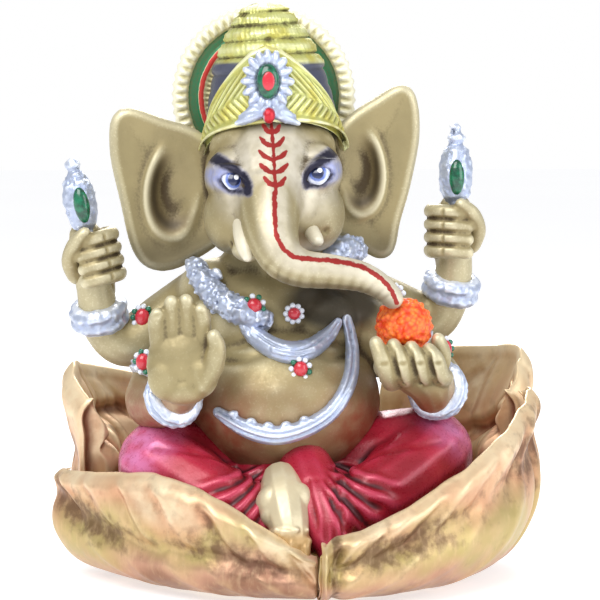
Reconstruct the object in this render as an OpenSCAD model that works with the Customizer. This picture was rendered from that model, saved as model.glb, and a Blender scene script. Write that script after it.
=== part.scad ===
// Seated elephant-headed idol in a cup of five folded leaves.
// The figure is built the way it is cast: torso, head, limbs, leaves and
// trims are separate pieces, pinned and glued together on a felt-footed cup.
// Millimetres, +Z up, the viewer's side is -Y, origin under the middle of the foot.
// "Right" and "left" in the names are the figure's own.

/* [Overall] */
// Height of the idol from the felt to the crown's tip
idol_h = 125; // [105:1:150]
// Width of the leaf cup across its widest leaves
leaf_cup_w = 110; // [92:1:132]

/* [Base] */
// Thickness of the felt pad
felt_t = 1; // [0.6:0.1:2]
// How far the felt stands out of its recess
felt_proud = 0.4; // [0.2:0.1:0.5]
// Radius of the flat under the cup
foot_r = 29; // [24:0.5:31]
// Radius of the seat on top of the cup
seat_r = 33; // [29:0.5:38]
// Height of the seat above the table
seat_h = 11; // [9:0.5:14]

/* [Leaves] */
// Wall of a leaf
leaf_wall = 3; // [2:0.1:4]
// Height of the tallest leaf tip
leaf_h = 48.5; // [40:0.5:54]

/* [Figure] */
// Half width of the belly
belly_r = 22; // [19:0.5:25]
// Reach of an ear from the middle of the head
ear_reach = 33; // [29:0.5:38]
// Diameter of the trunk where it leaves the face
trunk_d = 16; // [13:0.5:18]
// Sideways lean of the head, in degrees
head_lean = 4; // [0:0.5:8]
// Diameter of the laddu
laddu_d = 12; // [9:0.5:15]

/* [Crown] */
// Outer radius of the tiara
tiara_r = 16.8; // [15:0.1:20.5]
// Wall of the tiara
tiara_wall = 1.8; // [1.2:0.1:3]
// Radius of the halo
halo_r = 20.5; // [17:0.5:25]
// Thickness of the halo
halo_t = 3; // [2:0.1:4]
// Flutes around the halo's rim
halo_flutes = 48; // [24:2:60]

/* [Pins and fits] */
// Diameter of the seat peg under the torso
seat_peg_d = 12; // [8:0.5:16]
// Diameter of the neck peg
neck_peg_d = 8; // [5:0.5:10]
// Diameter of the crown peg and the halo peg
crown_peg_d = 5; // [3:0.5:7]
// Diameter of a shoulder peg
shoulder_peg_d = 4; // [3:0.5:5]
// Diameter of the shafts held in the rear hands
shaft_d = 2.4; // [1.6:0.1:3.2]
// Gap all round a glued peg, shaft or stone
glue_gap = 0.1; // [0.05:0.01:0.2]

/* [Hidden] */

$fn = 48;

// Paint colours
gold = [0.62, 0.57, 0.42];
copper = [0.74, 0.55, 0.38];
crimson = [0.62, 0.13, 0.2];
silver = [0.78, 0.83, 0.92];
crown_gold = [0.76, 0.74, 0.38];
ruby = [0.8, 0.18, 0.28];
emerald = [0.08, 0.42, 0.3];

// The figure is drawn at this size, and grown to the height that is asked for
drawn_h = 125;
drawn_cup_w = 110;
drawn_leaf_h = 48.5;
drawn_seat_h = 11;
grow = (idol_h - seat_h) / (drawn_h - drawn_seat_h);

// Middle of the figure, a little to one side of the middle of the cup
fig_x = -5;
neck_at = [fig_x, -2, 76];
head_turn = 5;
// Height of the crown's seat above the neck, and its axis behind the neck
crown_z = 20.5;
crown_y = 2;
crown_drum_r = 11;
peg_len = 6;

// ---------------------------------------------------------------- helpers

function unit(v) = v / norm(v);
function lerp(a, b, t) = a + (b - a) * t;
function xyz(p) = [p[0], p[1], p[2]];
function spline_at(a, b, c, d, t) =
    0.5 * (2 * b + (c - a) * t + (2 * a - 5 * b + 4 * c - d) * t * t
           + (3 * b - a - 3 * c + d) * t * t * t);
// A smooth path through the stations s, with this many steps between two
function smooth_path(s, steps) =
    [for (i = [0 : len(s) - 2]) for (k = [0 : steps - 1])
        spline_at(s[max(i - 1, 0)], s[i], s[i + 1], s[min(i + 2, len(s) - 1)], k / steps),
     s[len(s) - 1]];

// Triangles that join rings of n points each, closed at both ends
function skin(rings, n) = concat(
    [for (i = [0 : rings - 2]) for (j = [0 : n - 1]) each
        let (a = i * n + j, b = i * n + (j + 1) % n) [[a, a + n, b], [b, a + n, b + n]]],
    [[for (j = [0 : n - 1]) j]],
    [[for (j = [0 : n - 1]) rings * n - 1 - j]]);

// A limb that follows stations [x, y, z, radius], with domed ends.
// flat squeezes its section along the side that faces ref.
module limb(stations, sides = 12, steps = 2, ref = [0, 1, 0], flat = 1) {
    path = smooth_path(stations, steps);
    last = len(path) - 1;
    dirs = [for (i = [0 : last])
        unit(xyz(path[min(i + 1, last)]) - xyz(path[max(i - 1, 0)]))];
    start = [for (a = [80, 45]) concat(
        xyz(path[0]) - dirs[0] * path[0][3] * flat * sin(a), path[0][3] * cos(a))];
    end = [for (a = [45, 80]) concat(
        xyz(path[last]) + dirs[last] * path[last][3] * flat * sin(a), path[last][3] * cos(a))];
    all = concat(start, path, end);
    points = [for (i = [0 : len(all) - 1])
        let (d = dirs[min(max(i - len(start), 0), last)],
             u = unit(cross(ref, d)),
             v = cross(d, u))
        for (j = [0 : sides - 1])
            xyz(all[i]) + all[i][3] * (cos(360 * j / sides) * u
                                       + flat * sin(360 * j / sides) * v)];
    polyhedron(points, skin(len(all), sides));
}

// A body of level ovals: sections [height, half width, half depth, middle x, middle y]
module ovals(sections, sides = 28, steps = 3) {
    rings = smooth_path(sections, steps);
    points = [for (s = rings) for (j = [0 : sides - 1])
        [s[3] + s[1] * cos(360 * j / sides), s[4] + s[2] * sin(360 * j / sides), s[0]]];
    polyhedron(points, skin(len(rings), sides));
}

// Keeps what is inside as one mesh, so that later cuts in it stay quick
module as_mesh() { resize([0, 0, 0]) children(); }

// Grows the drawn figure about its seat to the height that is asked for
module figure() {
    translate([0, 0, seat_h]) scale(grow) translate([0, 0, -drawn_seat_h]) children();
}

// Places what is drawn about the neck
module on_head() {
    translate(neck_at) rotate([0, -head_lean, 0]) rotate([0, 0, -head_turn]) children();
}

// Turns +Z to the direction d and goes to the point p
module aim(p, d) {
    translate(p) rotate([0, acos(d[2] / norm(d)), atan2(d[1], d[0])]) children();
}

// ---------------------------------------------------------------- base

recess_h = felt_t - felt_proud;

module felt_pad() {
    color("darkslategray") cylinder(r = foot_r - 2, h = felt_t, $fn = 96);
}

module cup_shape() {
    rotate_extrude($fn = 96) polygon([
        [0, felt_t], [foot_r - 2 + glue_gap, felt_t], [foot_r - 2 + glue_gap, felt_proud],
        [foot_r, felt_proud], [seat_r - 1, seat_h / 3], [seat_r, seat_h / 2],
        [seat_r, seat_h - 1], [seat_r - 1, seat_h], [0, seat_h]]);
}

module base_cup() {
    color(copper) difference() {
        cup_shape();
        translate([fig_x, 0, seat_h - peg_len])
            cylinder(r = seat_peg_d / 2 + glue_gap, h = peg_len + 1);
    }
}

// ---------------------------------------------------------------- leaves

// A leaf's rim runs through stations [angle, radius, height]. bulge pushes its
// belly outwards and sag lowers it.
spread = leaf_cup_w / drawn_cup_w;
leaf_rise = leaf_h / drawn_leaf_h;
leaf_root_z = felt_proud + 0.2;

module leaf(rim, bulge, sag, steps = 3, rows = 7) {
    path = smooth_path(rim, steps);
    n = len(path);
    outer = [for (p = path) for (k = [0 : rows])
        let (t = k / rows,
             swell = 4 * t * (1 - t),
             r = (seat_r - 2) * (1 - t) + spread * (p[1] * t + bulge * swell),
             z = leaf_root_z * (1 - t) + leaf_rise * (p[2] * t - sag * swell * (1 - t / 2)))
        [p[0], r, max(z, leaf_root_z), t]];
    both = concat(
        [for (q = outer) [q[1] * cos(q[0]), q[1] * sin(q[0]), q[2]]],
        [for (q = outer) let (r = q[1] - leaf_wall * (0.35 + 0.65 * q[3]))
            [r * cos(q[0]), r * sin(q[0]), q[2] + leaf_wall * (1 - q[3])]]);
    w = rows + 1;
    m = n * w;
    faces = concat(
        [for (i = [0 : n - 2]) for (k = [0 : rows - 1]) each
            let (a = i * w + k, b = a + w)
            [[a, a + 1, b], [b, a + 1, b + 1],
             [m + a, m + b, m + a + 1], [m + b, m + b + 1, m + a + 1]]],
        [for (i = [0 : n - 2]) each
            let (a = i * w, b = a + w, c = a + rows, d = b + rows)
            [[a, b, m + a], [b, m + b, m + a], [c, m + c, d], [d, m + c, m + d]]],
        [for (k = [0 : rows - 1]) each
            let (a = k, b = (n - 1) * w + k)
            [[a, m + a, a + 1], [a + 1, m + a, m + a + 1],
             [b, b + 1, m + b], [b + 1, m + b + 1, m + b]]]);
    polyhedron(both, faces);
}

// Neighbouring leaves meet at these angles
front_seam = 270;
right_seam = 360;
back_right_seam = 58;
back_left_seam = 120;
left_seam = 179;

front_right_rim = [[front_seam, 45, 14], [275, 45, 15.5], [288, 45, 19], [308, 46, 26],
                   [328, 48, 33], [344, 50, 38.5], [354, 51.5, 41], [right_seam, 51.5, 39]];
front_left_rim = [[left_seam, 54, 23], [184, 54, 24], [193, 50, 24.5], [206, 46, 25.5],
                  [219, 43.5, 26], [237, 42, 23], [253, 41, 17], [front_seam, 40.5, 10]];
back_left_rim = [[back_left_seam, 42, 37], [130, 44, 39], [146, 48, 42], [159, 52, 44.5],
                 [167, 53, 45.5], [left_seam, 49, 38]];
back_right_rim = [[right_seam - 360, 48.5, 39], [6, 51, 45], [12, 53, drawn_leaf_h],
                  [25, 51, 47.5], [42, 46, 46], [back_right_seam, 42.5, 42]];
back_rim = [[back_right_seam, 39, 35], [72, 39, 40], [89, 39, 42], [106, 39, 40],
            [back_left_seam, 38, 35]];

module leaf_cut() {
    color(copper) as_mesh() difference() {
        children();
        cup_shape();
        figure() { leg_shapes(); foot_shape(); pleat_shape(); torso_shape(); }
    }
}

module leaf_front_right() { leaf_cut() leaf(front_right_rim, 11, 8); }
module leaf_front_left() { leaf_cut() leaf(front_left_rim, 8, 6); }
module leaf_back_right() { leaf_cut() leaf(back_right_rim, 7, 6); }
module leaf_back_left() { leaf_cut() leaf(back_left_rim, 5, 5); }
module leaf_back() { leaf_cut() leaf(back_rim, 5, 5); }

// ---------------------------------------------------------------- legs and cloth

// Stations are [x, y, z, radius]
right_thigh = [[-12, -1, 21, 10.5], [-24, -7, 25, 11], [-33, -13, 27, 9]];
right_shin = [[-32, -14, 26, 9], [-22, -23, 20, 8], [-12, -28, 16, 6.5], [-8, -29, 14, 5]];
left_thigh = [[2, -1, 21, 10.5], [15, -7, 26, 11], [28, -11, 29, 9]];
left_shin = [[27, -12, 28, 9], [17, -21, 21, 8], [4, -28, 16, 6.5], [0, -30, 14, 5]];
foot_path = [[-6, -27, 26, 5], [-6, -32, 20, 4.8], [-5.5, -35.5, 14, 4.2], [-5.5, -36.5, 10, 2.6]];
pleat_path = [[-1, -20, 26, 7], [1, -28, 20, 7], [3, -33, 14, 5.5], [3.5, -35.5, 10, 3.4]];

module right_leg_shape() { limb(right_thigh, 16, 3); limb(right_shin, 14); }
module left_leg_shape() { limb(left_thigh, 16, 3); limb(left_shin, 14); }
module leg_shapes() { right_leg_shape(); left_leg_shape(); }
module foot_shape() { limb(foot_path, 12); }
module pleat_shape() { limb(pleat_path, 14, flat = 0.8); }

module dhoti_right_leg() {
    color(crimson) as_mesh() difference() {
        figure() difference() { right_leg_shape(); torso_shape(); }
        cup_shape();
    }
}
module dhoti_left_leg() {
    color(crimson) as_mesh() difference() {
        figure() difference() { left_leg_shape(); torso_shape(); right_leg_shape(); }
        cup_shape();
    }
}
module dhoti_pleats() {
    color(crimson) as_mesh() difference() {
        figure() difference() { pleat_shape(); torso_shape(); leg_shapes(); foot_shape(); }
        cup_shape();
    }
}
module foot() {
    color(gold) as_mesh() difference() {
        figure() difference() { foot_shape(); torso_shape(); leg_shapes(); }
        cup_shape();
    }
}

// ---------------------------------------------------------------- torso

// Sections are [height, half width, half depth, middle x, middle y]
torso_sections = [
    [drawn_seat_h, 15, 11, fig_x, 2], [16, 17, 13, fig_x, 2], [24, 19, 16, fig_x, 0],
    [32, belly_r - 0.5, 18, fig_x, -3], [42, belly_r, 19.5, fig_x, -5],
    [52, belly_r - 1.5, 17, fig_x, -4], [60, belly_r - 2, 13.5, fig_x, -1],
    [67, belly_r - 3.5, 11.5, fig_x, 0], [72, 13, 10, fig_x, 0],
    [neck_at[2] - 0.5, 9, 8, fig_x, -1]];
torso_rings = smooth_path(torso_sections, 3);

// Where the chest's front lies at a height z and a place x across
function chest_y(x, z) =
    let (hw = lookup(z, [for (s = torso_rings) [s[0], s[1]]]),
         hd = lookup(z, [for (s = torso_rings) [s[0], s[2]]]),
         cy = lookup(z, [for (s = torso_rings) [s[0], s[4]]]))
    cy - hd * sqrt(max(0.02, 1 - pow((x - fig_x) / hw, 2)));
// Stations [x, z, radius] laid on the chest
function on_chest(s) = [for (p = s) [p[0], chest_y(p[0], p[1]) + p[2] * 0.2, p[1], p[2]]];

module torso_shape() { ovals(torso_sections); }

// Shoulder pegs: [place inside the arm, side that the torso lies on]
right_rear_peg = [[-27, 5, 59.5], 1];
left_rear_peg = [[17, 5, 59.5], -1];
right_front_peg = [[-28, -6, 50], 1];
left_front_peg = [[18, -6, 50.5], -1];
shoulder_peg_len = 10;

module shoulder_pin(peg, gap) {
    translate(peg[0]) rotate([0, 90 * peg[1], 0])
        cylinder(r = shoulder_peg_d / 2 + gap, h = shoulder_peg_len + gap, $fn = 20);
}

module torso() {
    color(gold) difference() {
        as_mesh() union() {
            figure() torso_shape();
            translate([fig_x, 0, seat_h - peg_len + glue_gap])
                cylinder(r = seat_peg_d / 2, h = peg_len);
        }
        figure() {
            on_head() translate([0, 0, -peg_len - glue_gap])
                cylinder(r = neck_peg_d / 2 + glue_gap, h = peg_len + 3);
            for (peg = [right_rear_peg, left_rear_peg, right_front_peg, left_front_peg])
                shoulder_pin(peg, glue_gap);
        }
    }
}

// ---------------------------------------------------------------- head

// Sections in the head's own frame, about the neck
head_sections = [
    [-4, 7, 7, 0, -4], [0, 10.5, 10, 0, -6], [5, 14, 13, 0, -7], [10, 15.5, 14.5, 0, -7],
    [15, 15.5, 15, 0, -6], [crown_z, 14.5, 15, 0, -3.5], [crown_z + 3, 12.5, 12.5, 0, -1],
    [crown_z + 5, 8, 8, 0, 0]];
eye_r = 3.2;
eye_x = 9;
eye_y = -17.2;
eye_z = 11.5;

// The head, with its top turned down to a drum that the crown fits over
module head_shape() {
    difference() {
        ovals(head_sections);
        difference() {
            translate([-25, -25, crown_z]) cube([50, 50, 20]);
            translate([0, crown_y, crown_z - 1]) cylinder(r = crown_drum_r, h = 3);
        }
    }
}

module head() {
    color(gold) figure() difference() {
        as_mesh() union() {
            difference() {
                on_head() difference() {
                    head_shape();
                    for (side = [-1, 1]) translate([side * eye_x, eye_y, eye_z])
                        sphere(r = eye_r + 2 * glue_gap, $fn = 16);
                }
                torso_shape();
            }
            on_head() translate([0, 0, -peg_len])
                cylinder(r = neck_peg_d / 2, h = peg_len + 5, $fn = 32);
        }
        on_head() {
            translate([0, crown_y, crown_z + 1 - peg_len])
                cylinder(r = crown_peg_d / 2 + glue_gap, h = peg_len + 2);
            translate([0, crown_y + halo_back, crown_z + halo_z]) rotate([-90, 0, 0])
                cylinder(r = halo_r + glue_gap, h = halo_t + glue_gap);
        }
    }
}

module eye_ball(side) {
    color("white") figure() on_head()
        translate([side * eye_x, eye_y, eye_z]) sphere(r = eye_r, $fn = 32);
}
module right_eye() { eye_ball(-1); }
module left_eye() { eye_ball(1); }

// The trunk curls to the figure's left and down to the laddu
trunk_path = [[-8.4, -19, 93, trunk_d / 2 - 1], [-8.2, -24, 85, trunk_d / 2], [-7.9, -29, 77.5, trunk_d / 2 - 1.2],
              [-3.3, -31.5, 70.5, trunk_d / 2 - 2.3], [5.5, -32, 66.8, trunk_d / 2 - 3.2],
              [13.4, -30.5, 65.6, 4.2], [17.6, -28, 61.5, 3.4], [18.9, -26.5, 58, 2.7]];
module trunk_shape() { limb(trunk_path, 14, steps = 3, ref = [0, 1, 0.3]); }
module trunk() {
    color(gold) figure() as_mesh() difference() {
        trunk_shape();
        on_head() {
            head_shape();
            crown_block(brooch_t + 1);
            for (side = [-1, 1]) translate([side * eye_x, eye_y, eye_z])
                sphere(r = eye_r + glue_gap, $fn = 32);
        }
        laddu_ball();
        torso_shape();
    }
}

right_tusk_path = [[-13, -20, 77, 2.4], [-11.5, -25, 74, 2], [-10.5, -29, 71.5, 1.2]];
left_stub_path = [[0, -20, 77, 2.4], [1.5, -24, 75, 2.1]];
module tusk_cut() {
    color("ivory") figure() as_mesh() difference() {
        children();
        on_head() head_shape();
        trunk_shape();
        torso_shape();
    }
}
module right_tusk() { tusk_cut() limb(right_tusk_path, 10); }
module left_tusk_stub() { tusk_cut() limb(left_stub_path, 10); }

// ---------------------------------------------------------------- ears

// Outlines [x, z] from the crown down round the tip, and back to the cheek
ear_t = 3;
ear_scale = ear_reach / 33;
right_ear_outline = [[-17, 88], [-22.4, 94.5], [-30.1, 98], [-38.9, 100.8], [-40.5, 93],
                     [-38.2, 82], [-35.8, 72], [-32.5, 68], [-26, 69.5], [-19, 76]];
left_ear_outline = [[4, 90], [10.1, 98], [17.2, 103], [23, 105.8], [24.8, 97.3], [22.8, 86.3],
                    [20.4, 77.6], [19.2, 70.5], [14.5, 72], [6, 78]];
ear_root_x = -7;

module ear_plate(outline, hollow) {
    closed = concat(outline, [outline[0]]);
    translate([ear_root_x, 0, 0]) scale([ear_scale, 1, 1]) translate([-ear_root_x, 0, 0])
        difference() {
            translate([0, 3.5, 0]) rotate([90, 0, 0]) linear_extrude(ear_t + 1.5)
                polygon([for (p = smooth_path(closed, 3)) [p[0], p[1]]]);
            translate(hollow) scale([7.5, 2.4, 10.5]) sphere(r = 1, $fn = 24);
        }
}
module ear_cut() {
    color(gold) figure() as_mesh() difference() {
        children();
        on_head() { head_shape(); crown_block(); }
        torso_shape();
    }
}
module right_ear() { ear_cut() ear_plate(right_ear_outline, [-29, -1, 85]); }
module left_ear() { ear_cut() ear_plate(left_ear_outline, [15.5, -1, 88]); }

// ---------------------------------------------------------------- crown

// The dome's tiers as [radius, height above the crown's seat], up to the knob.
// They are drawn 28 high, and stretched so that the tip is at the idol's full height.
dome_drawn_h = 28;
dome_stretch = ((drawn_h - neck_at[2]) / cos(head_lean) - crown_z) / dome_drawn_h;
dome_tiers = [[13.6, 0], [14.6, 2], [14.2, 6], [15, 7.2], [13.4, 9.5], [13.8, 10.5],
              [12, 13.5], [12.4, 14.5], [10, 17], [10.2, 18], [7, 20.4], [7, 21.2],
              [3.2, 22.6], [4.4, 24.2], [3.8, 26], [1.6, 27.6], [0, dome_drawn_h]];
// The dome's flat back and the halo's middle, from the crown's axis and seat
halo_back = 9.5;
halo_z = 8;
halo_notch = 0.5;
// Enamel groove round the halo's face
groove_d = 0.4;
groove_out_r = halo_r - 3.5;
groove_in_r = halo_r - 7;
dome_squeeze = (tiara_r - tiara_wall - glue_gap) / 15;

// The room that the crown takes, this much larger all round
module crown_block(more = 0) {
    translate([0, crown_y, crown_z]) cylinder(r = tiara_r + more, h = 30);
}

module crown_dome() {
    color(crown_gold) figure() on_head() translate([0, crown_y, crown_z]) difference() {
        union() {
            rotate_extrude($fn = 64) polygon(concat(
                [[0, 0]], [for (p = dome_tiers) [p[0] * dome_squeeze, p[1] * dome_stretch]]));
            translate([0, 0, 1 - peg_len]) cylinder(r = crown_peg_d / 2, h = peg_len);
        }
        difference() {
            translate([0, 0, -1]) cylinder(r = crown_drum_r + glue_gap, h = 3 + glue_gap);
            translate([0, 0, -peg_len]) cylinder(r = crown_peg_d / 2, h = 3 * peg_len);
        }
        translate([-20, halo_back, -1]) cube([40, 20, 40]);
        translate([0, halo_back + 1, halo_z]) rotate([90, 0, 0])
            cylinder(r = crown_peg_d / 2 + glue_gap, h = peg_len + 1);
    }
}

// A band round the crown's front, its top edge rising to a point in the middle
tiara_side_h = 5;
tiara_mid_h = 18;
tiara_half_w = tiara_r * 0.985;

module tiara_band(grow_r = 0) {
    intersection() {
        difference() {
            cylinder(r = tiara_r + grow_r, h = 25, $fn = 64);
            translate([0, 0, -1]) cylinder(r = tiara_r - tiara_wall - grow_r, h = 27, $fn = 64);
        }
        rotate([90, 0, 0]) linear_extrude(tiara_r + 1) polygon(concat(
            [[-tiara_half_w, 0], [tiara_half_w, 0]],
            [for (i = [0 : 12]) let (x = tiara_half_w * (1 - i / 6), u = x / tiara_half_w)
                [x, tiara_side_h + (tiara_mid_h - tiara_side_h) * (1 - u * u)]]));
    }
}
module tiara() {
    color(crown_gold) figure() on_head() translate([0, crown_y, crown_z]) tiara_band();
}

// Brooch in the middle of the tiara, with wings below and a drop stone in it
brooch_z = 9;
brooch_t = 1.6;
drop_w = 5;
drop_h = 8;
stone_t = 1.2;

module egg(w, h) { scale([w / h, 1]) circle(d = h, $fn = 32); }

module crown_brooch() {
    color(silver) figure() on_head() translate([0, crown_y, crown_z]) difference() {
        translate([0, -tiara_r + tiara_wall / 2, brooch_z]) rotate([90, 0, 0])
            linear_extrude(brooch_t + tiara_wall / 2) union() {
                polygon([for (i = [0 : 23]) let (a = i * 15, r = 1 + 0.14 * cos(8 * a))
                    [(drop_w / 2 + 2) * r * cos(a), (drop_h / 2 + 1.8) * r * sin(a)]]);
                for (side = [-1, 1]) translate([side * 3.4, -5.6]) circle(r = 2.6, $fn = 24);
            }
        cylinder(r = tiara_r + glue_gap / 2, h = 30, $fn = 64);
        translate([0, -tiara_r - brooch_t + stone_t / 2, brooch_z]) rotate([90, 0, 0])
            linear_extrude(stone_t + 1) egg(drop_w + 2 * glue_gap, drop_h + 2 * glue_gap);
    }
}
module brooch_drop() {
    color(emerald) figure() on_head()
        translate([0, crown_y - tiara_r - brooch_t + stone_t / 2, crown_z + brooch_z])
            rotate([90, 0, 0]) linear_extrude(stone_t) egg(drop_w, drop_h);
}

// A fluted disc glued to the flat back of the dome
module halo() {
    color(crown_gold) figure() on_head() translate([0, crown_y + halo_back, crown_z + halo_z])
        rotate([-90, 0, 0]) difference() {
            union() {
                linear_extrude(halo_t) polygon([for (i = [0 : 2 * halo_flutes - 1])
                    let (a = 180 * i / halo_flutes, r = halo_r - halo_notch * (i % 2))
                    [r * cos(a), r * sin(a)]]);
                translate([0, 0, glue_gap - peg_len]) cylinder(r = crown_peg_d / 2, h = peg_len);
            }
            translate([0, 0, -1]) difference() {
                cylinder(r = groove_out_r, h = 1 + groove_d);
                translate([0, 0, -1]) cylinder(r = groove_in_r, h = 3 + groove_d);
            }
        }
}

// ---------------------------------------------------------------- arms

right_rear_path = [[-19, 4, 63, 6.5], [-29, 6, 56, 6.5], [-38, 5, 50, 6.2],
                   [-43.5, 3.5, 54.5, 5.2], [-45, 1, 61, 4.6], [-46, 0, 64, 4.2]];
left_rear_path = [[9, 4, 63, 6.5], [20, 6, 58, 6.4], [29, 6, 55, 6],
                  [33, 4, 60, 5.2], [34, 2, 66, 4.6], [34, 1, 70, 4.2]];
right_front_path = [[-19, -4, 57, 6.5], [-27, -6, 49, 6.5], [-33, -9, 40, 6.2],
                    [-31.5, -16, 39.5, 5.4], [-28.5, -22.5, 42, 4.8], [-27.5, -24.5, 45, 4.4]];
left_front_path = [[9, -4, 57, 6.5], [20, -6, 50, 6.5], [28.5, -8, 43, 6.2],
                   [29, -14, 41, 5.4], [27, -19, 42.5, 4.8], [25.5, -21.5, 43.5, 4.6]];

module right_rear_arm_shape() { limb(right_rear_path); }
module left_rear_arm_shape() { limb(left_rear_path); }
module right_front_arm_shape() { limb(right_front_path, ref = [1, 0, 0.3]); }
module left_front_arm_shape() { limb(left_front_path, ref = [1, 0, 0.3]); }

// An arm with its shoulder peg: first child is its shape, second what it leaves room for
module arm(peg) {
    color(gold) figure() as_mesh() union() {
        difference() {
            children(0);
            torso_shape();
            leg_shapes();
            on_head() head_shape();
            if ($children > 1) children(1);
        }
        shoulder_pin(peg, 0);
    }
}
module right_front_arm() { arm(right_front_peg) right_front_arm_shape(); }
module left_front_arm() { arm(left_front_peg) left_front_arm_shape(); }
module right_rear_arm() {
    arm(right_rear_peg) { right_rear_arm_shape(); right_front_arm_shape(); }
}
module left_rear_arm() {
    arm(left_rear_peg) { left_rear_arm_shape(); left_front_arm_shape(); }
}

// ---------------------------------------------------------------- hands

// All hands are drawn about the wrist, fingers up +Z and the palm facing -Y
palm_path = [[0, 0.5, -1, 4], [0, 0, 3, 5.6], [0, 0, 8, 6.4], [0, 0, 11, 5.8]];

// The raised palm
module open_hand() {
    limb(palm_path, 10, steps = 2, flat = 0.5);
    for (f = [[-4.9, 9.2], [-1.7, 11.6], [1.7, 11.2], [4.9, 9]])
        limb([[f[0], 0, 9, 1.9], [f[0] * 1.08, -0.4, 9 + f[1] / 2, 1.85],
              [f[0] * 1.12, -1, 9 + f[1], 1.5]], 7, steps = 2);
    limb([[3.5, -1, 2.5, 2.2], [6.6, -2.2, 6, 2], [7.4, -2.8, 10, 1.6]], 7, steps = 2);
}

// A fist closed round an upright shaft at [0, 0]. What it holds stands on its top,
// and the shaft ends above the wrist.
fist_top = 6.2;
fist_core_r = 4.7;
shaft_down = 0.5;
fist_palm = [[0, 2.5, -6.5, 3.8], [0, 2.6, -2, 4.6], [0, 2.4, 3, 4.4], [0, 2, 5, 3.6]];
module fist_lumps() {
    limb(fist_palm, 10, steps = 2, flat = 0.9, ref = [0, 1, 0.1]);
    for (k = [-1.5 : 1.5])
        limb([[4.4, 2.5, k * 2.7, 1.7], [4.9, -0.5, k * 2.7, 1.7], [3.4, -3.2, k * 2.7, 1.7],
              [0.4, -4.3, k * 2.7, 1.6], [-2.6, -3.4, k * 2.7, 1.4]], 7, steps = 1,
             ref = [0, 0, 1]);
    limb([[-4, 2, -2, 2], [-4.6, -2, 1.5, 1.9], [-2.2, -4.4, 5.6, 1.5]], 7, steps = 2,
         ref = [0, 1, 0.3]);
    translate([0, 0, -5]) cylinder(r = fist_core_r, h = fist_top + 4.4, $fn = 12);
}
module fist() difference() {
    fist_lumps();
    translate([-12, -12, fist_top]) cube([24, 24, 6]);
}

// A palm turned up round the laddu, four fingers standing in front of it
laddu_at = [19.7, -22, 56.3];
module laddu_ball() { translate(laddu_at) sphere(d = laddu_d, $fn = 20); }
finger_reach = laddu_d / 2 + 1.6;
module cupped_hand() {
    limb([[25.2, -21.6, 43.9, 4.2], [23.2, -22.8, 45.7, 5.4], [21.2, -23.4, 48, 5.8]], 9,
         steps = 2, flat = 0.8, ref = [0, 1, 0.2]);
    for (k = [0 : 3]) {
        x = laddu_at[0] - 4.6 + 3.3 * k;
        limb([[x + 2, -24.6, 46.2 + 0.3 * k, 2], [x + 0.9, -27.8, 48.6, 1.95],
              [x, laddu_at[1] - finger_reach, 52, 1.8],
              [x - 1.2, laddu_at[1] - finger_reach + 0.5, 56.5 - 0.9 * k, 1.4]], 7, steps = 1,
             ref = [1, 0, 0]);
    }
    limb([[26, -21.3, 46.3, 2.2], [laddu_at[0] + finger_reach, -22.2, 51.2, 2],
          [laddu_at[0] + finger_reach - 0.2, -22.7, 56, 1.6]], 7, steps = 2, ref = [1, 0, 0]);
}

right_fist_at = [-46, -1.5, 69.5];
right_fist_turn = [0, -11, 10];
left_fist_at = [34, 0, 75];
left_fist_turn = [0, 0, -8];
open_hand_at = [-27, -26, 43.5];
open_hand_turn = [0, -2, -4];

module right_fist() { translate(right_fist_at) rotate(right_fist_turn) fist(); }
module left_fist() { translate(left_fist_at) rotate(left_fist_turn) mirror([1, 0, 0]) fist(); }
module raised_hand() { translate(open_hand_at) rotate(open_hand_turn) open_hand(); }

module shaft_bore(at, turn) {
    translate(at) rotate(turn) translate([0, 0, shaft_down - glue_gap])
        cylinder(r = shaft_d / 2 + glue_gap, h = 10, $fn = 32);
}
module right_rear_hand() {
    color(gold) figure() difference() {
        as_mesh() difference() { right_fist(); right_rear_arm_shape(); }
        shaft_bore(right_fist_at, right_fist_turn);
    }
}
module left_rear_hand() {
    color(gold) figure() difference() {
        as_mesh() difference() { left_fist(); left_rear_arm_shape(); }
        shaft_bore(left_fist_at, left_fist_turn);
    }
}
module right_front_hand() {
    color(gold) figure() as_mesh() difference() {
        raised_hand();
        right_front_arm_shape();
        torso_shape();
    }
}
module left_front_hand() {
    color(gold) figure() as_mesh() difference() {
        cupped_hand();
        left_front_arm_shape();
        laddu_ball();
        trunk_shape();
        torso_shape();
    }
}

// ---------------------------------------------------------------- bracelets and armlets

// A rounded band of inner radius r, about the origin
module band(r, w, t, sides = 48) {
    rotate_extrude($fn = sides) translate([r + t / 2, 0])
        polygon([for (i = [0 : 7]) let (a = i * 45) [t / 2 * cos(a), w / 2 * sin(a)]]);
}
bracelet_w = 4;
bracelet_t = 1.8;

// A bracelet a share u of the way from station a to station b of an arm
module bracelet(a, b, u) {
    p = lerp(a, b, u);
    color(silver) figure() aim(xyz(p), xyz(b) - xyz(a))
        band(max(a[3], b[3]) + glue_gap, bracelet_w, bracelet_t);
}
module right_rear_bracelet() { bracelet(right_rear_path[3], right_rear_path[4], 0.35); }
module left_rear_bracelet() { bracelet(left_rear_path[3], left_rear_path[4], 0.45); }
module right_front_bracelet() { bracelet(right_front_path[3], right_front_path[4], 0.8); }
module left_front_bracelet() { bracelet(left_front_path[3], left_front_path[4], 0.7); }

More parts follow.
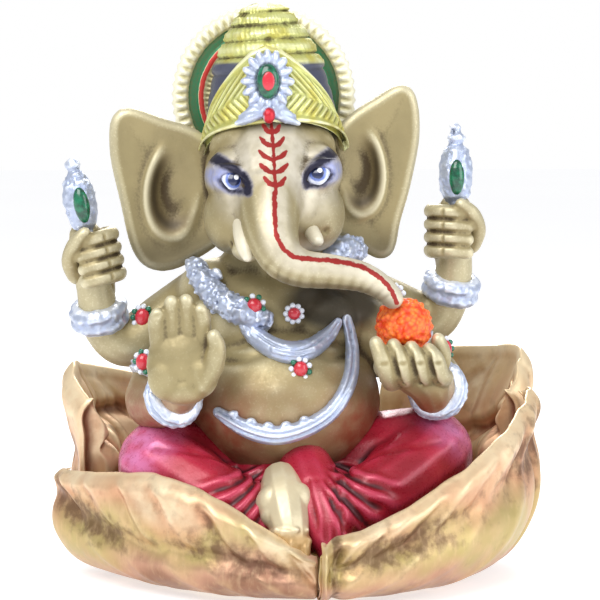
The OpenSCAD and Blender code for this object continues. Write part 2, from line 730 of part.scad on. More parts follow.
right_armlet_at = [-31, -7.5, 44.5];
left_armlet_at = [22.4, -6.6, 48.3];
module armlet_band(p, dir) { aim(p, dir) band(5.2, 4.5, 3, sides = 20); }
module right_armlet_shape() { armlet_band(right_armlet_at, [-6, -3, -9]); }
module left_armlet_shape() { armlet_band(left_armlet_at, [8.5, -2, -7]); }
module armlet_cut() {
    color(silver) figure() as_mesh() difference() {
        children();
        torso_shape();
        right_front_arm_shape();
        left_front_arm_shape();
        right_rear_arm_shape();
        left_rear_arm_shape();
        raised_hand();
    }
}
module right_armlet() { armlet_cut() right_armlet_shape(); }
module left_armlet() { armlet_cut() left_armlet_shape(); }
module armlet_stones() {
    color(ruby) figure() as_mesh() difference() {
        union() {
            translate([-35.5, -13, 47.5]) sphere(r = 1.6, $fn = 10);
            translate([30.5, -11.5, 50]) sphere(r = 1.6, $fn = 10);
        }
        right_armlet_shape();
        left_armlet_shape();
        right_front_arm_shape();
        left_front_arm_shape();
    }
}

// ---------------------------------------------------------------- held things

// Profiles [radius, height] above the fist
held_z = fist_top + 0.1;
goad_profile = [[0, held_z], [1.6, held_z], [3.3, 9], [3.1, 14], [2, 18.5], [0.9, 20], [1.5, 21], [0, 22.3]];
bud_profile = [[0, held_z], [1.8, held_z], [3.4, 9], [3.5, 15], [2.2, 18.6], [1.3, 19.4], [1.9, 20.8],
               [0.8, 22], [1.1, 23], [0, 24.2]];
inlay_w = 2.6;
inlay_h = 8;
inlay_z = 12;

// An upright ornament on a shaft, with a cut for its inlay
module held(profile, at, turn) {
    figure() translate(at) rotate(turn) difference() {
        union() {
            rotate_extrude(convexity = 4) polygon(profile);
            translate([0, 0, shaft_down]) cylinder(r = shaft_d / 2, h = held_z, $fn = 32);
        }
        translate([0, 0, inlay_z]) rotate([90, 0, 0]) linear_extrude(9)
            egg(inlay_w + 2 * glue_gap, inlay_h + 2 * glue_gap);
    }
}
module inlay(at, turn) {
    figure() translate(at) rotate(turn) translate([0, 0, inlay_z]) rotate([90, 0, 0])
        linear_extrude(3.2) egg(inlay_w, inlay_h);
}
module goad() { color(silver) held(goad_profile, right_fist_at, right_fist_turn); }
module goad_enamel() { color(emerald) inlay(right_fist_at, right_fist_turn); }
module lotus_bud() { color(silver) held(bud_profile, left_fist_at, left_fist_turn); }
module bud_enamel() { color(emerald) inlay(left_fist_at, left_fist_turn); }
module laddu() { color("orangered") figure() laddu_ball(); }

// ---------------------------------------------------------------- jewellery

// Chains lie on the chest: [across, height, radius]
collar_path = on_chest([[-22, 66, 2.4], [-19, 62, 2.6], [-15, 58.5, 2.6], [-11, 56.5, 2.4]]);
collar_left_path = on_chest([[3, 66, 2.6], [7, 67.5, 2.6], [11, 66.5, 2.4]]);
garland_path = on_chest([[-13, 57.5, 1.8], [-10, 53.5, 1.9], [-4.5, 51, 2], [1.5, 52.5, 1.9],
                         [6, 56.5, 1.8]]);
thread_path = on_chest([[8, 58, 1.5], [9, 50, 1.6], [7, 42.5, 1.7], [1, 37, 1.8], [-7, 34.5, 1.9],
                        [-15, 36, 1.8], [-20, 38.5, 1.6]]);

module collar_shape() {
    limb(collar_path, 9, ref = [0, 0.3, 1]);
    limb(collar_left_path, 9, ref = [0, 0.3, 1]);
}
module garland_shape() { limb(garland_path, 9, ref = [0, 1, 0]); }
module thread_shape() { limb(thread_path, 9, ref = [0, 1, 0]); }
module pendant_shape() {
    p = on_chest([[-2, 47.3, 2.2]])[0];
    translate(xyz(p)) sphere(r = 2.3, $fn = 12);
}

// What a chain leaves room for: the body and what passes in front of it
module chest_cut() {
    figure() as_mesh() difference() {
        children(0);
        torso_shape();
        on_head() head_shape();
        trunk_shape();
        right_front_arm_shape();
        left_front_arm_shape();
        cupped_hand();
        laddu_ball();
        if ($children > 1) children(1);
    }
}
module collar() { color(silver) chest_cut() collar_shape(); }
module garland() { color(silver) chest_cut() { garland_shape(); collar_shape(); } }
module sacred_thread() {
    color(silver) chest_cut() { thread_shape(); union() { garland_shape(); collar_shape(); } }
}
module pendant() {
    color(ruby) chest_cut() {
        pendant_shape();
        union() { garland_shape(); thread_shape(); }
    }
}
stone_places = on_chest([[-12.5, 60.5, 1.7], [-2, 57.5, 1.7]]);
module necklace_stones() {
    color(ruby) chest_cut() {
        for (p = stone_places) translate(xyz(p) - [0, 1.6, 0]) sphere(r = p[3], $fn = 10);
        union() { garland_shape(); collar_shape(); thread_shape(); }
    }
}

// ---------------------------------------------------------------- the idol

felt_pad();
base_cup();
leaf_front_left();
leaf_front_right();
leaf_back_left();
leaf_back_right();
leaf_back();
dhoti_right_leg();
dhoti_left_leg();
dhoti_pleats();
foot();
torso();
head();
trunk();
right_ear();
left_ear();
right_tusk();
left_tusk_stub();
right_eye();
left_eye();
crown_dome();
tiara();
crown_brooch();
brooch_drop();
halo();
right_rear_arm();
left_rear_arm();
right_front_arm();
left_front_arm();
right_rear_hand();
left_rear_hand();
right_front_hand();
left_front_hand();
right_rear_bracelet();
left_rear_bracelet();
right_front_bracelet();
left_front_bracelet();
right_armlet();
left_armlet();
goad();
goad_enamel();
lotus_bud();
bud_enamel();
laddu();
collar();
garland();
pendant();
sacred_thread();
necklace_stones();
armlet_stones();
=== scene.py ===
# %% [markdown]
# # A seated elephant-headed idol in a cup of leaves
# The real object is a small cast statuette: resin bodies pressed from clay masters, glued
# together, sprayed, and painted by hand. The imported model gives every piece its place, and
# this script gives each piece its clay shape and its paint. Lengths are in millimetres until
# a piece is finished, because a sculptor thinks in millimetres here.

# %% Load the frame
import math
import bpy
import bmesh
import numpy as np
from mathutils import Euler, Matrix, Vector
from mathutils.bvhtree import BVHTree


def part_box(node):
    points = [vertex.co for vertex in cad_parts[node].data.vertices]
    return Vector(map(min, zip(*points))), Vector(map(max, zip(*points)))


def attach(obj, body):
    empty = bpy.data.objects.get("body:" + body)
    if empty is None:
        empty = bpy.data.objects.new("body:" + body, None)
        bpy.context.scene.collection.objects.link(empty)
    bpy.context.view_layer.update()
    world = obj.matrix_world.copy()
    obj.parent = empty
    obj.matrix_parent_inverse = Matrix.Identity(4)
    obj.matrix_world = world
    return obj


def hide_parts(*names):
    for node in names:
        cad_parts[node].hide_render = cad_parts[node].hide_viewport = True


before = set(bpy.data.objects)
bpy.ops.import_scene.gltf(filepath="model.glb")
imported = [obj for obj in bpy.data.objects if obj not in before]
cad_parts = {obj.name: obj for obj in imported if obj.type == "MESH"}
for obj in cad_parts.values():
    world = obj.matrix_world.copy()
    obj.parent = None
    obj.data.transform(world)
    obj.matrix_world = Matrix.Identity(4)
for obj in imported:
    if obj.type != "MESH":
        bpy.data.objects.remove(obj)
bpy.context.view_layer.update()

MM = 0.001
unpainted = 9.0  # a distance in mm that is too far for any painted line to reach
pieces = {}


def low(node):
    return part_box(node)[0] / MM


def high(node):
    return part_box(node)[1] / MM


def mid(node):
    return (low(node) + high(node)) / 2


def half(node):
    return (high(node) - low(node)) / 2


# %% [markdown]
# ## Clay tools
# A statuette starts as lumps and rolls of clay that are pressed together. Blender's closest
# thing is a handful of overlapping closed shapes and a voxel Remesh, which melts them into
# one skin. Rolls are curves with a radius at every point, so an arm or a trunk is a short
# list of stations. After that the clay is an array of points that can be smoothed, pushed
# and grooved with a few lines of arithmetic, much as a sculpting brush would.

# %% Lumps and rolls
def smooth_line(stations, steps=6):
    """A smooth run of points through the stations, whatever each one holds."""
    p = np.array(stations, float)
    run = []
    for i in range(len(p) - 1):
        a, b, c, d = p[max(i - 1, 0)], p[i], p[i + 1], p[min(i + 2, len(p) - 1)]
        for t in np.arange(steps) / steps:
            run.append(0.5 * (2 * b + (c - a) * t + (2 * a - 5 * b + 4 * c - d) * t ** 2
                              + (3 * b - a - 3 * c + d) * t ** 3))
    return np.array(run + [p[-1]])


def pose(place, turn=(0, 0, 0), size=None):
    """The matrix that sizes a shape, turns it by degrees and moves it to its place."""
    return Matrix.LocRotScale(Vector(place), Euler([math.radians(v) for v in turn]), size)


def ball(place, radii, turn=(0, 0, 0), fine=3):
    """A lump of clay: a ball stretched to three radii and turned by degrees."""
    bm = bmesh.new()
    bmesh.ops.create_icosphere(bm, subdivisions=fine, radius=1)
    size = Vector(radii) if hasattr(radii, "__len__") else Vector((radii,) * 3)
    bmesh.ops.transform(bm, matrix=pose(place, turn, size), verts=bm.verts)
    return bm


def roll(stations, steps=6, closed=False, squash=None):
    """A roll of clay along stations (x, y, z, radius), with domed ends unless it is closed.
    squash = (direction, share) flattens it."""
    line = smooth_line(stations, steps)
    if not closed:
        for end, inner in ((0, 1), (-1, -2)):
            out = line[end, :3] - line[inner, :3]
            out /= np.linalg.norm(out)
            tips = [np.append(line[end, :3] + out * line[end, 3] * s, line[end, 3] * c)
                    for s, c in ((0.5, 0.86), (0.8, 0.6), (0.97, 0.24))]
            line = np.vstack([tips[::-1], line]) if end == 0 else np.vstack([line, tips])
    curve = bpy.data.curves.new("roll", "CURVE")
    curve.dimensions, curve.bevel_depth, curve.bevel_resolution = "3D", 1, 4
    curve.use_fill_caps = not closed
    spline = curve.splines.new("POLY")
    spline.points.add(len(line) - 1)
    spline.points.foreach_set("co", np.c_[line[:, :3], np.ones(len(line))].ravel())
    spline.points.foreach_set("radius", line[:, 3])
    spline.use_cyclic_u = closed
    holder = bpy.data.objects.new("roll", curve)
    mesh = bpy.data.meshes.new_from_object(holder)
    bm = bmesh.new()
    bm.from_mesh(mesh)
    bmesh.ops.remove_doubles(bm, verts=bm.verts, dist=1e-4)
    bmesh.ops.recalc_face_normals(bm, faces=bm.faces)
    bpy.data.objects.remove(holder)
    bpy.data.curves.remove(curve)
    bpy.data.meshes.remove(mesh)
    if squash:
        way, share = Vector(squash[0]).normalized(), squash[1]
        middle = Vector(line[len(line) // 2, :3])
        space = Matrix.Translation(-middle)
        bmesh.ops.transform(bm, matrix=Matrix.Scale(share, 4, way), space=space, verts=bm.verts)
    return bm


# %% Clay that can be modelled
class Clay:
    """A skin of clay whose points are kept in arrays, with the marks painted on them."""

    def __init__(self, mesh):
        self.mesh = mesh
        self.co = np.empty((len(mesh.vertices), 3))
        mesh.vertices.foreach_get("co", self.co.ravel())
        self.edges = np.empty((len(mesh.edges), 2), int)
        mesh.edges.foreach_get("vertices", self.edges.ravel())
        self.links = np.maximum(np.bincount(self.edges.ravel(), minlength=len(self.co)), 1)
        self.marks = {}

    def around(self, values):
        """The mean of each point's neighbours."""
        a, b = self.edges.T
        n = len(self.co)
        if values.ndim == 1:
            return (np.bincount(a, values[b], n) + np.bincount(b, values[a], n)) / self.links
        return np.stack([self.around(values[:, k]) for k in range(values.shape[1])], 1)

    def smooth(self, times, where=1.0):
        """Strokes every point halfway to its neighbours' mean, as a wet brush does."""
        strength = np.broadcast_to(np.asarray(where, float) * 0.5, len(self.co))[:, None]
        for _ in range(times):
            self.co += (self.around(self.co) - self.co) * strength
        return self

    def normals(self):
        self.mesh.vertices.foreach_set("co", self.co.ravel())
        self.mesh.update()
        n = np.empty(self.co.size)
        self.mesh.vertex_normals.foreach_get("vector", n)
        return n.reshape(-1, 3)

    def push(self, amount):
        """Moves the points outwards by the amounts."""
        self.co += self.normals() * np.asarray(amount)[:, None]
        return self

    def groove(self, stations, width, depth, steps=6):
        """Draws a tool along the stations. A negative depth raises a ridge."""
        reach = near(self.co, smooth_line(stations, steps), 3 * width)[0]
        return self.push(-depth * mound(reach, 0, width))

    def grains(self, count, size, height, seed, where=None):
        """Pricks or raises small grains at random points, as a needle does in soft clay."""
        rng = np.random.default_rng(seed)
        pool = np.arange(len(self.co)) if where is None else np.flatnonzero(where)
        out = np.zeros(len(self.co))
        for i in rng.choice(pool, count):
            gap = ((self.co - self.co[i]) ** 2).sum(1)
            out += rng.uniform(0.4, 1.0) * np.exp(-gap / (size * rng.uniform(0.7, 1.3)) ** 2)
        return self.push(height * np.clip(out, 0, 1.4))

    def mark(self, name, values):
        """Keeps a share from 0 to 1 for every point. The line and kohl are distances in mm."""
        self.marks[name] = values if name in ("line", "kohl") else np.clip(values, 0, 1)
        return self

    def no_lines(self):
        """Marks the clay as out of reach of the painted line and of the kohl."""
        for name in ("line", "kohl"):
            self.mark(name, np.full(len(self.co), unpainted))
        return self

    def mark_wash_shade_and_highlight(self, fine=5.0, broad=0.55, rounds=28):
        """Marks hollows, for thinned dark paint in the fine crevices and painted shade in the broad
        ones, and crests, for a painted highlight.
        """
        n = self.normals()
        close = self.co.copy()
        for _ in range(3):
            close = self.around(close)
        wide = close.copy()
        for _ in range(rounds):
            wide = self.around(wide)
        # The fine term finds crevices for the dark wash. The broad term finds wide hollows, whose
        # darkening is painted shade. The crests are the opposite, and they get a painted highlight.
        hollow = fine * ((close - self.co) * n).sum(1) + broad * ((wide - close) * n).sum(1)
        for _ in range(2):
            hollow = self.around(hollow)
        self.mark("wash_and_shade", hollow)
        self.mark("crest", -hollow)
        return self

    def finish(self):
        """Writes the points and the marks back to the mesh."""
        self.mesh.vertices.foreach_set("co", self.co.ravel())
        for name, values in self.marks.items():
            layer = self.mesh.attributes.new(name, "FLOAT", "POINT")
            layer.data.foreach_set("value", np.ascontiguousarray(values, np.float32))
        self.mesh.update()
        return self.mesh


def near(points, line, reach=1e9):
    """How far each point is from a line, and how far along the line its nearest place is."""
    line = np.asarray(line, float)[:, :3]
    far = np.full(len(points), 1e9)
    along = np.zeros(len(points))
    inside = np.all((points > line.min(0) - reach) & (points < line.max(0) + reach), 1)
    p, best, where = points[inside], far[inside], along[inside]
    for i, (a, b) in enumerate(zip(line[:-1], line[1:])):
        step = b - a
        t = np.clip((p - a) @ step / max(step @ step, 1e-9), 0, 1)
        d = np.linalg.norm(p - a - t[:, None] * step, axis=1)
        closer = d < best
        best[closer], where[closer] = d[closer], (i + t[closer]) / (len(line) - 1)
    far[inside], along[inside] = best, where
    return far, along


def rise(x, a, b):
    """Smoothly from 0 at a to 1 at b."""
    t = np.clip((x - a) / (b - a), 0, 1)
    return t * t * (3 - 2 * t)


def fall(x, a, b):
    """Smoothly from 1 at a to 0 at b."""
    return rise(-x, -b, -a)


def mound(x, middle, width):
    """A soft hump: 1 at the middle, and nearly 0 two widths away."""
    return np.exp(-((x - middle) / width) ** 2)


def egg_far(points, middle, sizes):
    """How far the points are from a middle, counted in eggs of those half sizes."""
    return np.linalg.norm((points - np.array(middle)) / np.array(sizes), axis=1)


def gather(lumps):
    """Several bmeshes as one mesh."""
    whole = bmesh.new()
    for lump in lumps:
        mesh = bpy.data.meshes.new("lump")
        lump.to_mesh(mesh)
        lump.free()
        whole.from_mesh(mesh)
        bpy.data.meshes.remove(mesh)
    mesh = bpy.data.meshes.new("clay")
    whole.to_mesh(mesh)
    whole.free()
    return mesh


def worked(mesh, *modifiers):
    """The mesh with modifiers (kind, settings) applied to it."""
    holder = bpy.data.objects.new("work", mesh)
    bpy.context.collection.objects.link(holder)
    for kind, settings in modifiers:
        modifier = holder.modifiers.new(kind, kind)
        for key, value in settings.items():
            setattr(modifier, key, value)
    seen = holder.evaluated_get(bpy.context.evaluated_depsgraph_get())
    result = bpy.data.meshes.new_from_object(seen)
    bpy.data.objects.remove(holder)
    bpy.data.meshes.remove(mesh)
    return result


def fuse(lumps, voxel):
    """Presses lumps into one skin with points about a voxel apart."""
    mesh = worked(gather(lumps), ("REMESH", {"mode": "VOXEL", "voxel_size": voxel}))
    return Clay(mesh)


# %% [markdown]
# ## Cutting the clay
# A real master is modelled whole and then sawn where the castings will be pinned. The same
# cut is made here by labelling points. A Boolean would leave a knife edge that shows as a
# dark crack, so each cut rim is turned inwards and keeps the shading of the uncut clay.

# %% Cutting clay into its cast pieces
flange_depth = 0.8


def part(clay, owner, label):
    """The piece of the clay whose points belong to the label, closed where it was cut.
    The skin turns in at the cut, so that no edge shows at the joint."""
    bm = bmesh.new()
    bm.from_mesh(clay.mesh)
    whole = bm.verts.layers.float_vector.new("whole_normal")
    for vert, way in zip(bm.verts, clay.normals()):
        vert[whole] = way
    others = [f for f in bm.faces if owner[f.verts[0].index] != label]
    bmesh.ops.delete(bm, geom=others, context="FACES")
    rim = [e for e in bm.edges if e.is_boundary]
    flange = bmesh.ops.extrude_edge_only(bm, edges=rim)["geom"]
    for vert in flange:
        if isinstance(vert, bmesh.types.BMVert):
            vert.co -= vert[whole].normalized() * flange_depth
    bmesh.ops.holes_fill(bm, edges=[e for e in bm.edges if e.is_boundary], sides=0)
    bmesh.ops.recalc_face_normals(bm, faces=bm.faces)
    mesh = bpy.data.meshes.new("part")
    bm.to_mesh(mesh)
    bm.free()
    return mesh


def keep(name, shape, finish):
    """Turns a shape in millimetres into the finished piece for the CAD node of that name."""
    title = "painted_" + name
    if isinstance(shape, bmesh.types.BMesh):
        mesh = bpy.data.meshes.new(title)
        shape.to_mesh(mesh)
        shape.free()
    else:
        mesh = shape.finish() if isinstance(shape, Clay) else shape
    mesh.name = title
    mesh.transform(Matrix.Scale(MM, 4))
    mesh.polygons.foreach_set("use_smooth", [True] * len(mesh.polygons))
    if "whole_normal" in mesh.attributes:
        layer = mesh.attributes["whole_normal"]
        ways = np.empty(len(mesh.vertices) * 3)
        layer.data.foreach_get("vector", ways)
        mesh.attributes.remove(layer)
        mesh.normals_split_custom_set_from_vertices(ways.reshape(-1, 3))
    mesh.materials.clear()
    mesh.materials.append(finish)
    piece = bpy.data.objects.new(title, mesh)
    bpy.context.collection.objects.link(piece)
    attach(piece, "root")
    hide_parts(name)
    pieces[name] = piece
    print(name, len(mesh.polygons), "faces")
    return piece


# %% [markdown]
# ## Paint
# Every finish on this object is built in the same order: a base coat that varies a little,
# a painted highlight on the crests, and in the hollows a dark wash where the crevices are fine
# and painted shade where they are broad. Both marks come from the clay itself, so the same
# three steps suit gold, silver and cloth. A small helper keeps the node wiring readable.

# %% Node helper
def colour(r, g, b):
    """A 0 to 255 screen colour as the shader's linear colour."""
    return tuple(((v / 255 + 0.055) / 1.055) ** 2.4 if v > 10 else v / 255 / 12.92
                 for v in (r, g, b)) + (1,)


class Paint:
    """A material whose nodes are added by short calls. A value is a number or a socket."""

    def __init__(self, name):
        self.material = bpy.data.materials.new(name)
        self.material.use_nodes = True
        self.tree = self.material.node_tree
        self.shader = self.tree.nodes["Principled BSDF"]
        self.place = self.node("TexCoord").outputs["Object"]

    def node(self, kind, settings=None, **inputs):
        made = self.tree.nodes.new("ShaderNode" + kind)
        for key, value in (settings or {}).items():
            setattr(made, key, value)
        for key, value in inputs.items():
            self.feed(made.inputs[int(key[1:]) if key[0] == "_" else key.replace("_", " ")], value)
        return made

    def feed(self, socket, value):
        if isinstance(value, bpy.types.NodeSocket):
            self.tree.links.new(value, socket)
        else:
            socket.default_value = value

    def mark(self, name):
        return self.node("Attribute", {"attribute_name": name}).outputs["Fac"]

    def noise(self, scale, detail=3.0, place=None):
        """Cloudy grain, with scale in grains per millimetre."""
        return self.node("TexNoise", Vector=place or self.place, Scale=scale / MM, Detail=detail,
                         Roughness=0.55).outputs["Fac"]

    def cells(self, scale):
        """Round grains, with scale in grains per millimetre."""
        return self.node("TexVoronoi", Vector=self.place, Scale=scale / MM).outputs["Distance"]

    def math(self, operation, a, b=0.0):
        return self.node("Math", {"operation": operation}, _0=a, _1=b).outputs[0]

    def length(self, a, b):
        """The length of a flat arrow with the sides a and b."""
        squares = [self.math("MULTIPLY", side, side) for side in (a, b)]
        return self.math("SQRT", self.math("ADD", *squares))

    def span(self, value, a, b, c=0.0, d=1.0):
        """Smoothly from c where the value is a to d where it is b."""
        return self.node("MapRange", {"interpolation_type": "SMOOTHSTEP"}, Value=value,
                         From_Min=a, From_Max=b, To_Min=c, To_Max=d).outputs[0]

    def mix(self, share, a, b):
        """Colour a, with that share of colour b laid over it."""
        made = self.node("Mix", {"data_type": "RGBA"})
        for socket, value in ((0, share), (6, a), (7, b)):
            self.feed(made.inputs[socket], value)
        return made.outputs[2]

    def stretch(self, sizes):
        return self.node("Mapping", Vector=self.place, Scale=sizes).outputs[0]

    def split(self, vector):
        return self.node("SeparateXYZ", Vector=vector).outputs

    def coat(self, base, roughness, metallic=0.0, bump=None, depth=0.05, **fixed):
        """Sends the layers to the shader. depth is the bump's height in millimetres."""
        self.feed(self.shader.inputs["Base Color"], base)
        self.feed(self.shader.inputs["Roughness"], roughness)
        self.feed(self.shader.inputs["Metallic"], metallic)
        for key, value in fixed.items():
            self.shader.inputs[key.replace("_", " ")].default_value = value
        if bump is not None:
            made = self.node("Bump", Strength=1.0, Distance=depth * MM, Height=bump)
            self.tree.links.new(made.outputs[0], self.shader.inputs["Normal"])
        return self.material


# %% [markdown]
# ## Antique metal paint
# Cast figures are sprayed with a metallic base and washed dark in the crevices. Here the
# high spots also get a painted highlight, and the broad hollows get painted shade. A plain metal
# shader would look like solid brass, so the metal share is kept low and falls further where
# the wash and the painted shade lie.

# %% Antique metal paint, the finish under most of the others
def antique(name, deep, base, bright, metallic=0.6, rough=0.42, grain=0.9, more=None,
            flake=0.03):
    """Base coat, a painted highlight on the crests, and thinned dark paint with painted shade in
    the hollows. grain is the spray's grain in specks per millimetre, flake is their height, and
    more(p, tone) adds painted marks."""
    p = Paint(name)
    cloud = p.noise(0.09, 3.0)
    speck = p.noise(grain * 2.2, 3.0)
    tone = p.mix(p.span(cloud, 0.35, 0.65, 0.0, 0.55), base, [v * 0.72 for v in base[:3]] + [1])
    # Painted highlight: the crests, and a few specks, are mixed towards the bright colour.
    lift = p.math("ADD", p.mark("crest"), p.span(speck, 0.5, 0.8, -0.05, 0.1))
    tone = p.mix(p.span(lift, 0.02, 0.6), tone, bright)
    if more:
        tone = more(p, tone)
    # Dark wash in the fine crevices and painted shade in the broad hollows, mixed towards the deep
    # colour. Shine and metal follow this share.
    wash_and_shade_share = p.math("ADD", p.mark("wash_and_shade"), p.span(speck, 0.3, 0.7, 0.07, -0.07))
    wash_and_shade_share = p.span(wash_and_shade_share, 0.05, 0.62)
    tone = p.mix(wash_and_shade_share, tone, deep)
    shine = p.math("ADD", p.span(wash_and_shade_share, 0.0, 1.0, rough, min(rough + 0.3, 0.95)),
                   p.span(p.noise(1.6, 2.0), 0.3, 0.7, -0.06, 0.06))
    metal = p.span(wash_and_shade_share, 0.0, 1.0, metallic, metallic * 0.25)
    height = p.math("ADD", p.noise(grain, 4.0), p.math("MULTIPLY", p.noise(4.0, 2.0), 0.3))
    return p.coat(tone, shine, metal, height, flake)


# %% [markdown]
# ## Flesh gold
# The figure's skin is a khaki gold, greyer than brass, with olive-brown wash and painted shade
# in the hollows. The painter then airbrushed a reddish blush low on the belly and hands and
# dark kohl about each eye, and drew one red line from the brow along the trunk. Those shapes
# are distances measured on the clay, so their edges stay crisp at any resolution. Over them
# go painted highlights, paler on the front of the face and the top of the trunk and blue-white
# beside each eye, and painted shade under the trunk and the tiara, in the ear bowls and
# beside the mouth.

# %% Skin marks
def skin_marks(p, tone):
    blush = p.math("MULTIPLY", p.mark("blush"), p.span(p.noise(0.35, 3.0), 0.25, 0.7, 0.6, 1.0))
    tone = p.mix(blush, tone, colour(140, 60, 38))
    # Painted highlight: the paler front of the face and top of the trunk.
    face_highlight = p.math("MULTIPLY", p.mark("face_highlight"), p.span(p.noise(0.4, 3.0), 0.2, 0.7, 0.5, 0.9))
    tone = p.mix(face_highlight, tone, colour(222, 214, 196))
    # Painted highlight: the blue-white patch beside each eye.
    eye_highlight = p.math("MULTIPLY", p.mark("eye_highlight"), p.span(p.noise(0.8, 3.0), 0.2, 0.7, 0.55, 0.95))
    tone = p.mix(eye_highlight, tone, colour(150, 158, 204))
    tone = p.mix(p.math("MULTIPLY", p.mark("shade"), 0.92), tone, colour(42, 35, 26))
    lid = p.math("ADD", p.mark("kohl"), p.span(p.noise(1.0, 3.0), 0.2, 0.8, -0.2, 0.2))
    tone = p.mix(p.span(lid, 2.1, 1.2, 0.0, 0.6), tone, colour(96, 100, 140))
    tone = p.mix(p.span(lid, 1.6, 0.75), tone, colour(32, 30, 50))
    line = p.math("ADD", p.mark("line"), p.span(p.noise(0.9, 2.0), 0.2, 0.8, -0.16, 0.16))
    return p.mix(p.span(line, 0.56, 0.38), tone, colour(152, 38, 34))


flesh = antique("flesh_gold", colour(70, 56, 32), colour(158, 144, 104), colour(212, 203, 170),
                metallic=0.42, rough=0.46, more=skin_marks)

# %% [markdown]
# ## Silver, crown gold and ivory
# The trims are the same paint with other colours: blue-grey under silver, olive under the
# crown's yellow-green gold, brown under the foot's cream. Sharing one recipe keeps the
# pieces looking as if one hand had painted them.

# %% Silver, crown gold and ivory
def blue_tint(p, tone):
    tone = p.mix(p.span(p.noise(0.5, 2.0), 0.45, 0.7, 0.0, 0.5), tone, colour(170, 184, 222))
    tone = p.mix(p.mark("leaf"), tone, colour(24, 104, 76))
    return p.mix(p.mark("gem"), tone, colour(196, 44, 56))


silver = antique("silver_leaf", colour(62, 70, 96), colour(182, 192, 214), colour(232, 238, 250),
                 metallic=0.5, rough=0.36, grain=1.6, more=blue_tint, flake=0.07)


def green_gold(p, tone):
    tone = p.mix(p.span(p.noise(0.22, 2.0), 0.42, 0.66, 0.0, 0.7), tone, colour(190, 178, 70))
    return p.mix(p.math("MULTIPLY", p.mark("cap"), 0.92), tone, colour(52, 58, 98))


crown_gold = antique("crown_gold", colour(74, 66, 26), colour(198, 200, 122),
                     colour(238, 238, 188), metallic=0.42, rough=0.36, grain=1.2, more=green_gold,
                     flake=0.06)


# The foot is painted browner towards the toes, below the instep.
def browner_toes(p, tone):
    return p.mix(p.math("MULTIPLY", p.mark("blush"), 0.8), tone, colour(176, 134, 72))


foot_gold = antique("foot_gold", colour(84, 54, 22), colour(212, 198, 164),
                    colour(244, 236, 210), metallic=0.3, rough=0.38, more=browner_toes)
tusk_ivory = antique("tusk_ivory", colour(110, 90, 52), colour(222, 214, 190),
                     colour(246, 242, 226), metallic=0.05, rough=0.36, flake=0.02)
print(len(bpy.data.materials), "finishes so far")

# %% [markdown]
# ## Enamel and the sweet
# Stones and ovals are drops of gloss enamel, which pools darker at its edge and needs a
# clear coat for its sharp reflection. The sweet is a ball of crumbs, so round cells give
# both its two oranges and its fine relief.

# %% Enamel, stones and the sweet
def enamel(name, body, dark):
    """Glossy paint that pools: darker at its edges, and slightly uneven. The marks paint a
    stone, its green leaves and its pearls in the same coat."""
    p = Paint(name)
    tone = p.mix(p.span(p.noise(0.7, 2.0), 0.3, 0.7), body, dark)
    tone = p.mix(p.span(p.mark("wash_and_shade"), 0.1, 0.7), tone, dark)
    tone = p.mix(p.mark("gem"), tone, colour(200, 44, 60))
    tone = p.mix(p.mark("leaf"), tone, colour(20, 108, 80))
    tone = p.mix(p.mark("pearls"), tone, colour(222, 228, 240))
    shine = p.span(p.noise(1.5, 2.0), 0.3, 0.7, 0.16, 0.28)
    return p.coat(tone, shine, 0.0, p.noise(0.8, 2.0), 0.05, Coat_Weight=0.6, Coat_Roughness=0.08)


ruby = enamel("ruby_enamel", colour(206, 44, 66), colour(140, 18, 34))
emerald = enamel("emerald_enamel", colour(16, 112, 78), colour(6, 62, 44))


def sweet_finish():
    p = Paint("laddu_orange")
    crumbs = p.cells(0.9)
    tone = p.mix(p.span(crumbs, 0.1, 0.75), colour(255, 128, 44), colour(226, 62, 10))
    tone = p.mix(p.span(p.noise(0.4, 3.0), 0.5, 0.75, 0.0, 0.7), tone, colour(255, 150, 70))
    return p.coat(tone, 0.42, 0.0, p.math("MULTIPLY", crumbs, -1.0), 0.25,
                  Subsurface_Weight=0.1, Subsurface_Scale=0.002)


laddu_paint = sweet_finish()

# %% [markdown]
# ## Crimson satin
# The cloth is cast, so a fabric shader would be wrong. It is crimson lacquer, only slightly
# coated, with a pink-lilac painted highlight on the knees, a lighter painted highlight on the
# crests, and a dark wash with painted shade in the gathers.

# %% Crimson satin cloth
def satin():
    """Lacquered cloth: crimson, darkened in the folds by thinned dark paint and painted shade, with
    painted highlights in pink-lilac on the knees and lighter crimson on the crests.
    """
    p = Paint("crimson_satin")
    tone = p.mix(p.span(p.noise(0.08, 2.0), 0.35, 0.65), colour(168, 30, 52), colour(140, 22, 38))
    # Painted highlight: pink-lilac on the knees.
    painted_highlight = p.math("MULTIPLY", p.mark("painted_highlight"), p.span(p.noise(0.3, 3.0), 0.25, 0.65, 0.35, 1.0))
    tone = p.mix(painted_highlight, tone, colour(214, 128, 178))
    # Painted highlight: lighter crimson on the crests.
    tone = p.mix(p.span(p.mark("crest"), 0.08, 0.6, 0.0, 0.6), tone, colour(212, 74, 104))
    # Dark wash in the fine creases and painted shade in the gathers.
    tone = p.mix(p.span(p.mark("wash_and_shade"), 0.04, 0.5), tone, colour(72, 8, 20))
    shine = p.math("ADD", p.span(p.mark("wash_and_shade"), 0.0, 0.5, 0.3, 0.5),
                   p.span(p.noise(1.2, 2.0), 0.3, 0.7, -0.05, 0.05))
    weave = p.math("ADD", p.noise(2.2, 3.0), p.math("MULTIPLY", p.noise(0.5, 2.0), 0.6))
    return p.coat(tone, shine, 0.12, weave, 0.04, Coat_Weight=0.1, Coat_Roughness=0.3,
                  Sheen_Weight=0.0, Sheen_Roughness=0.4)


crimson = satin()
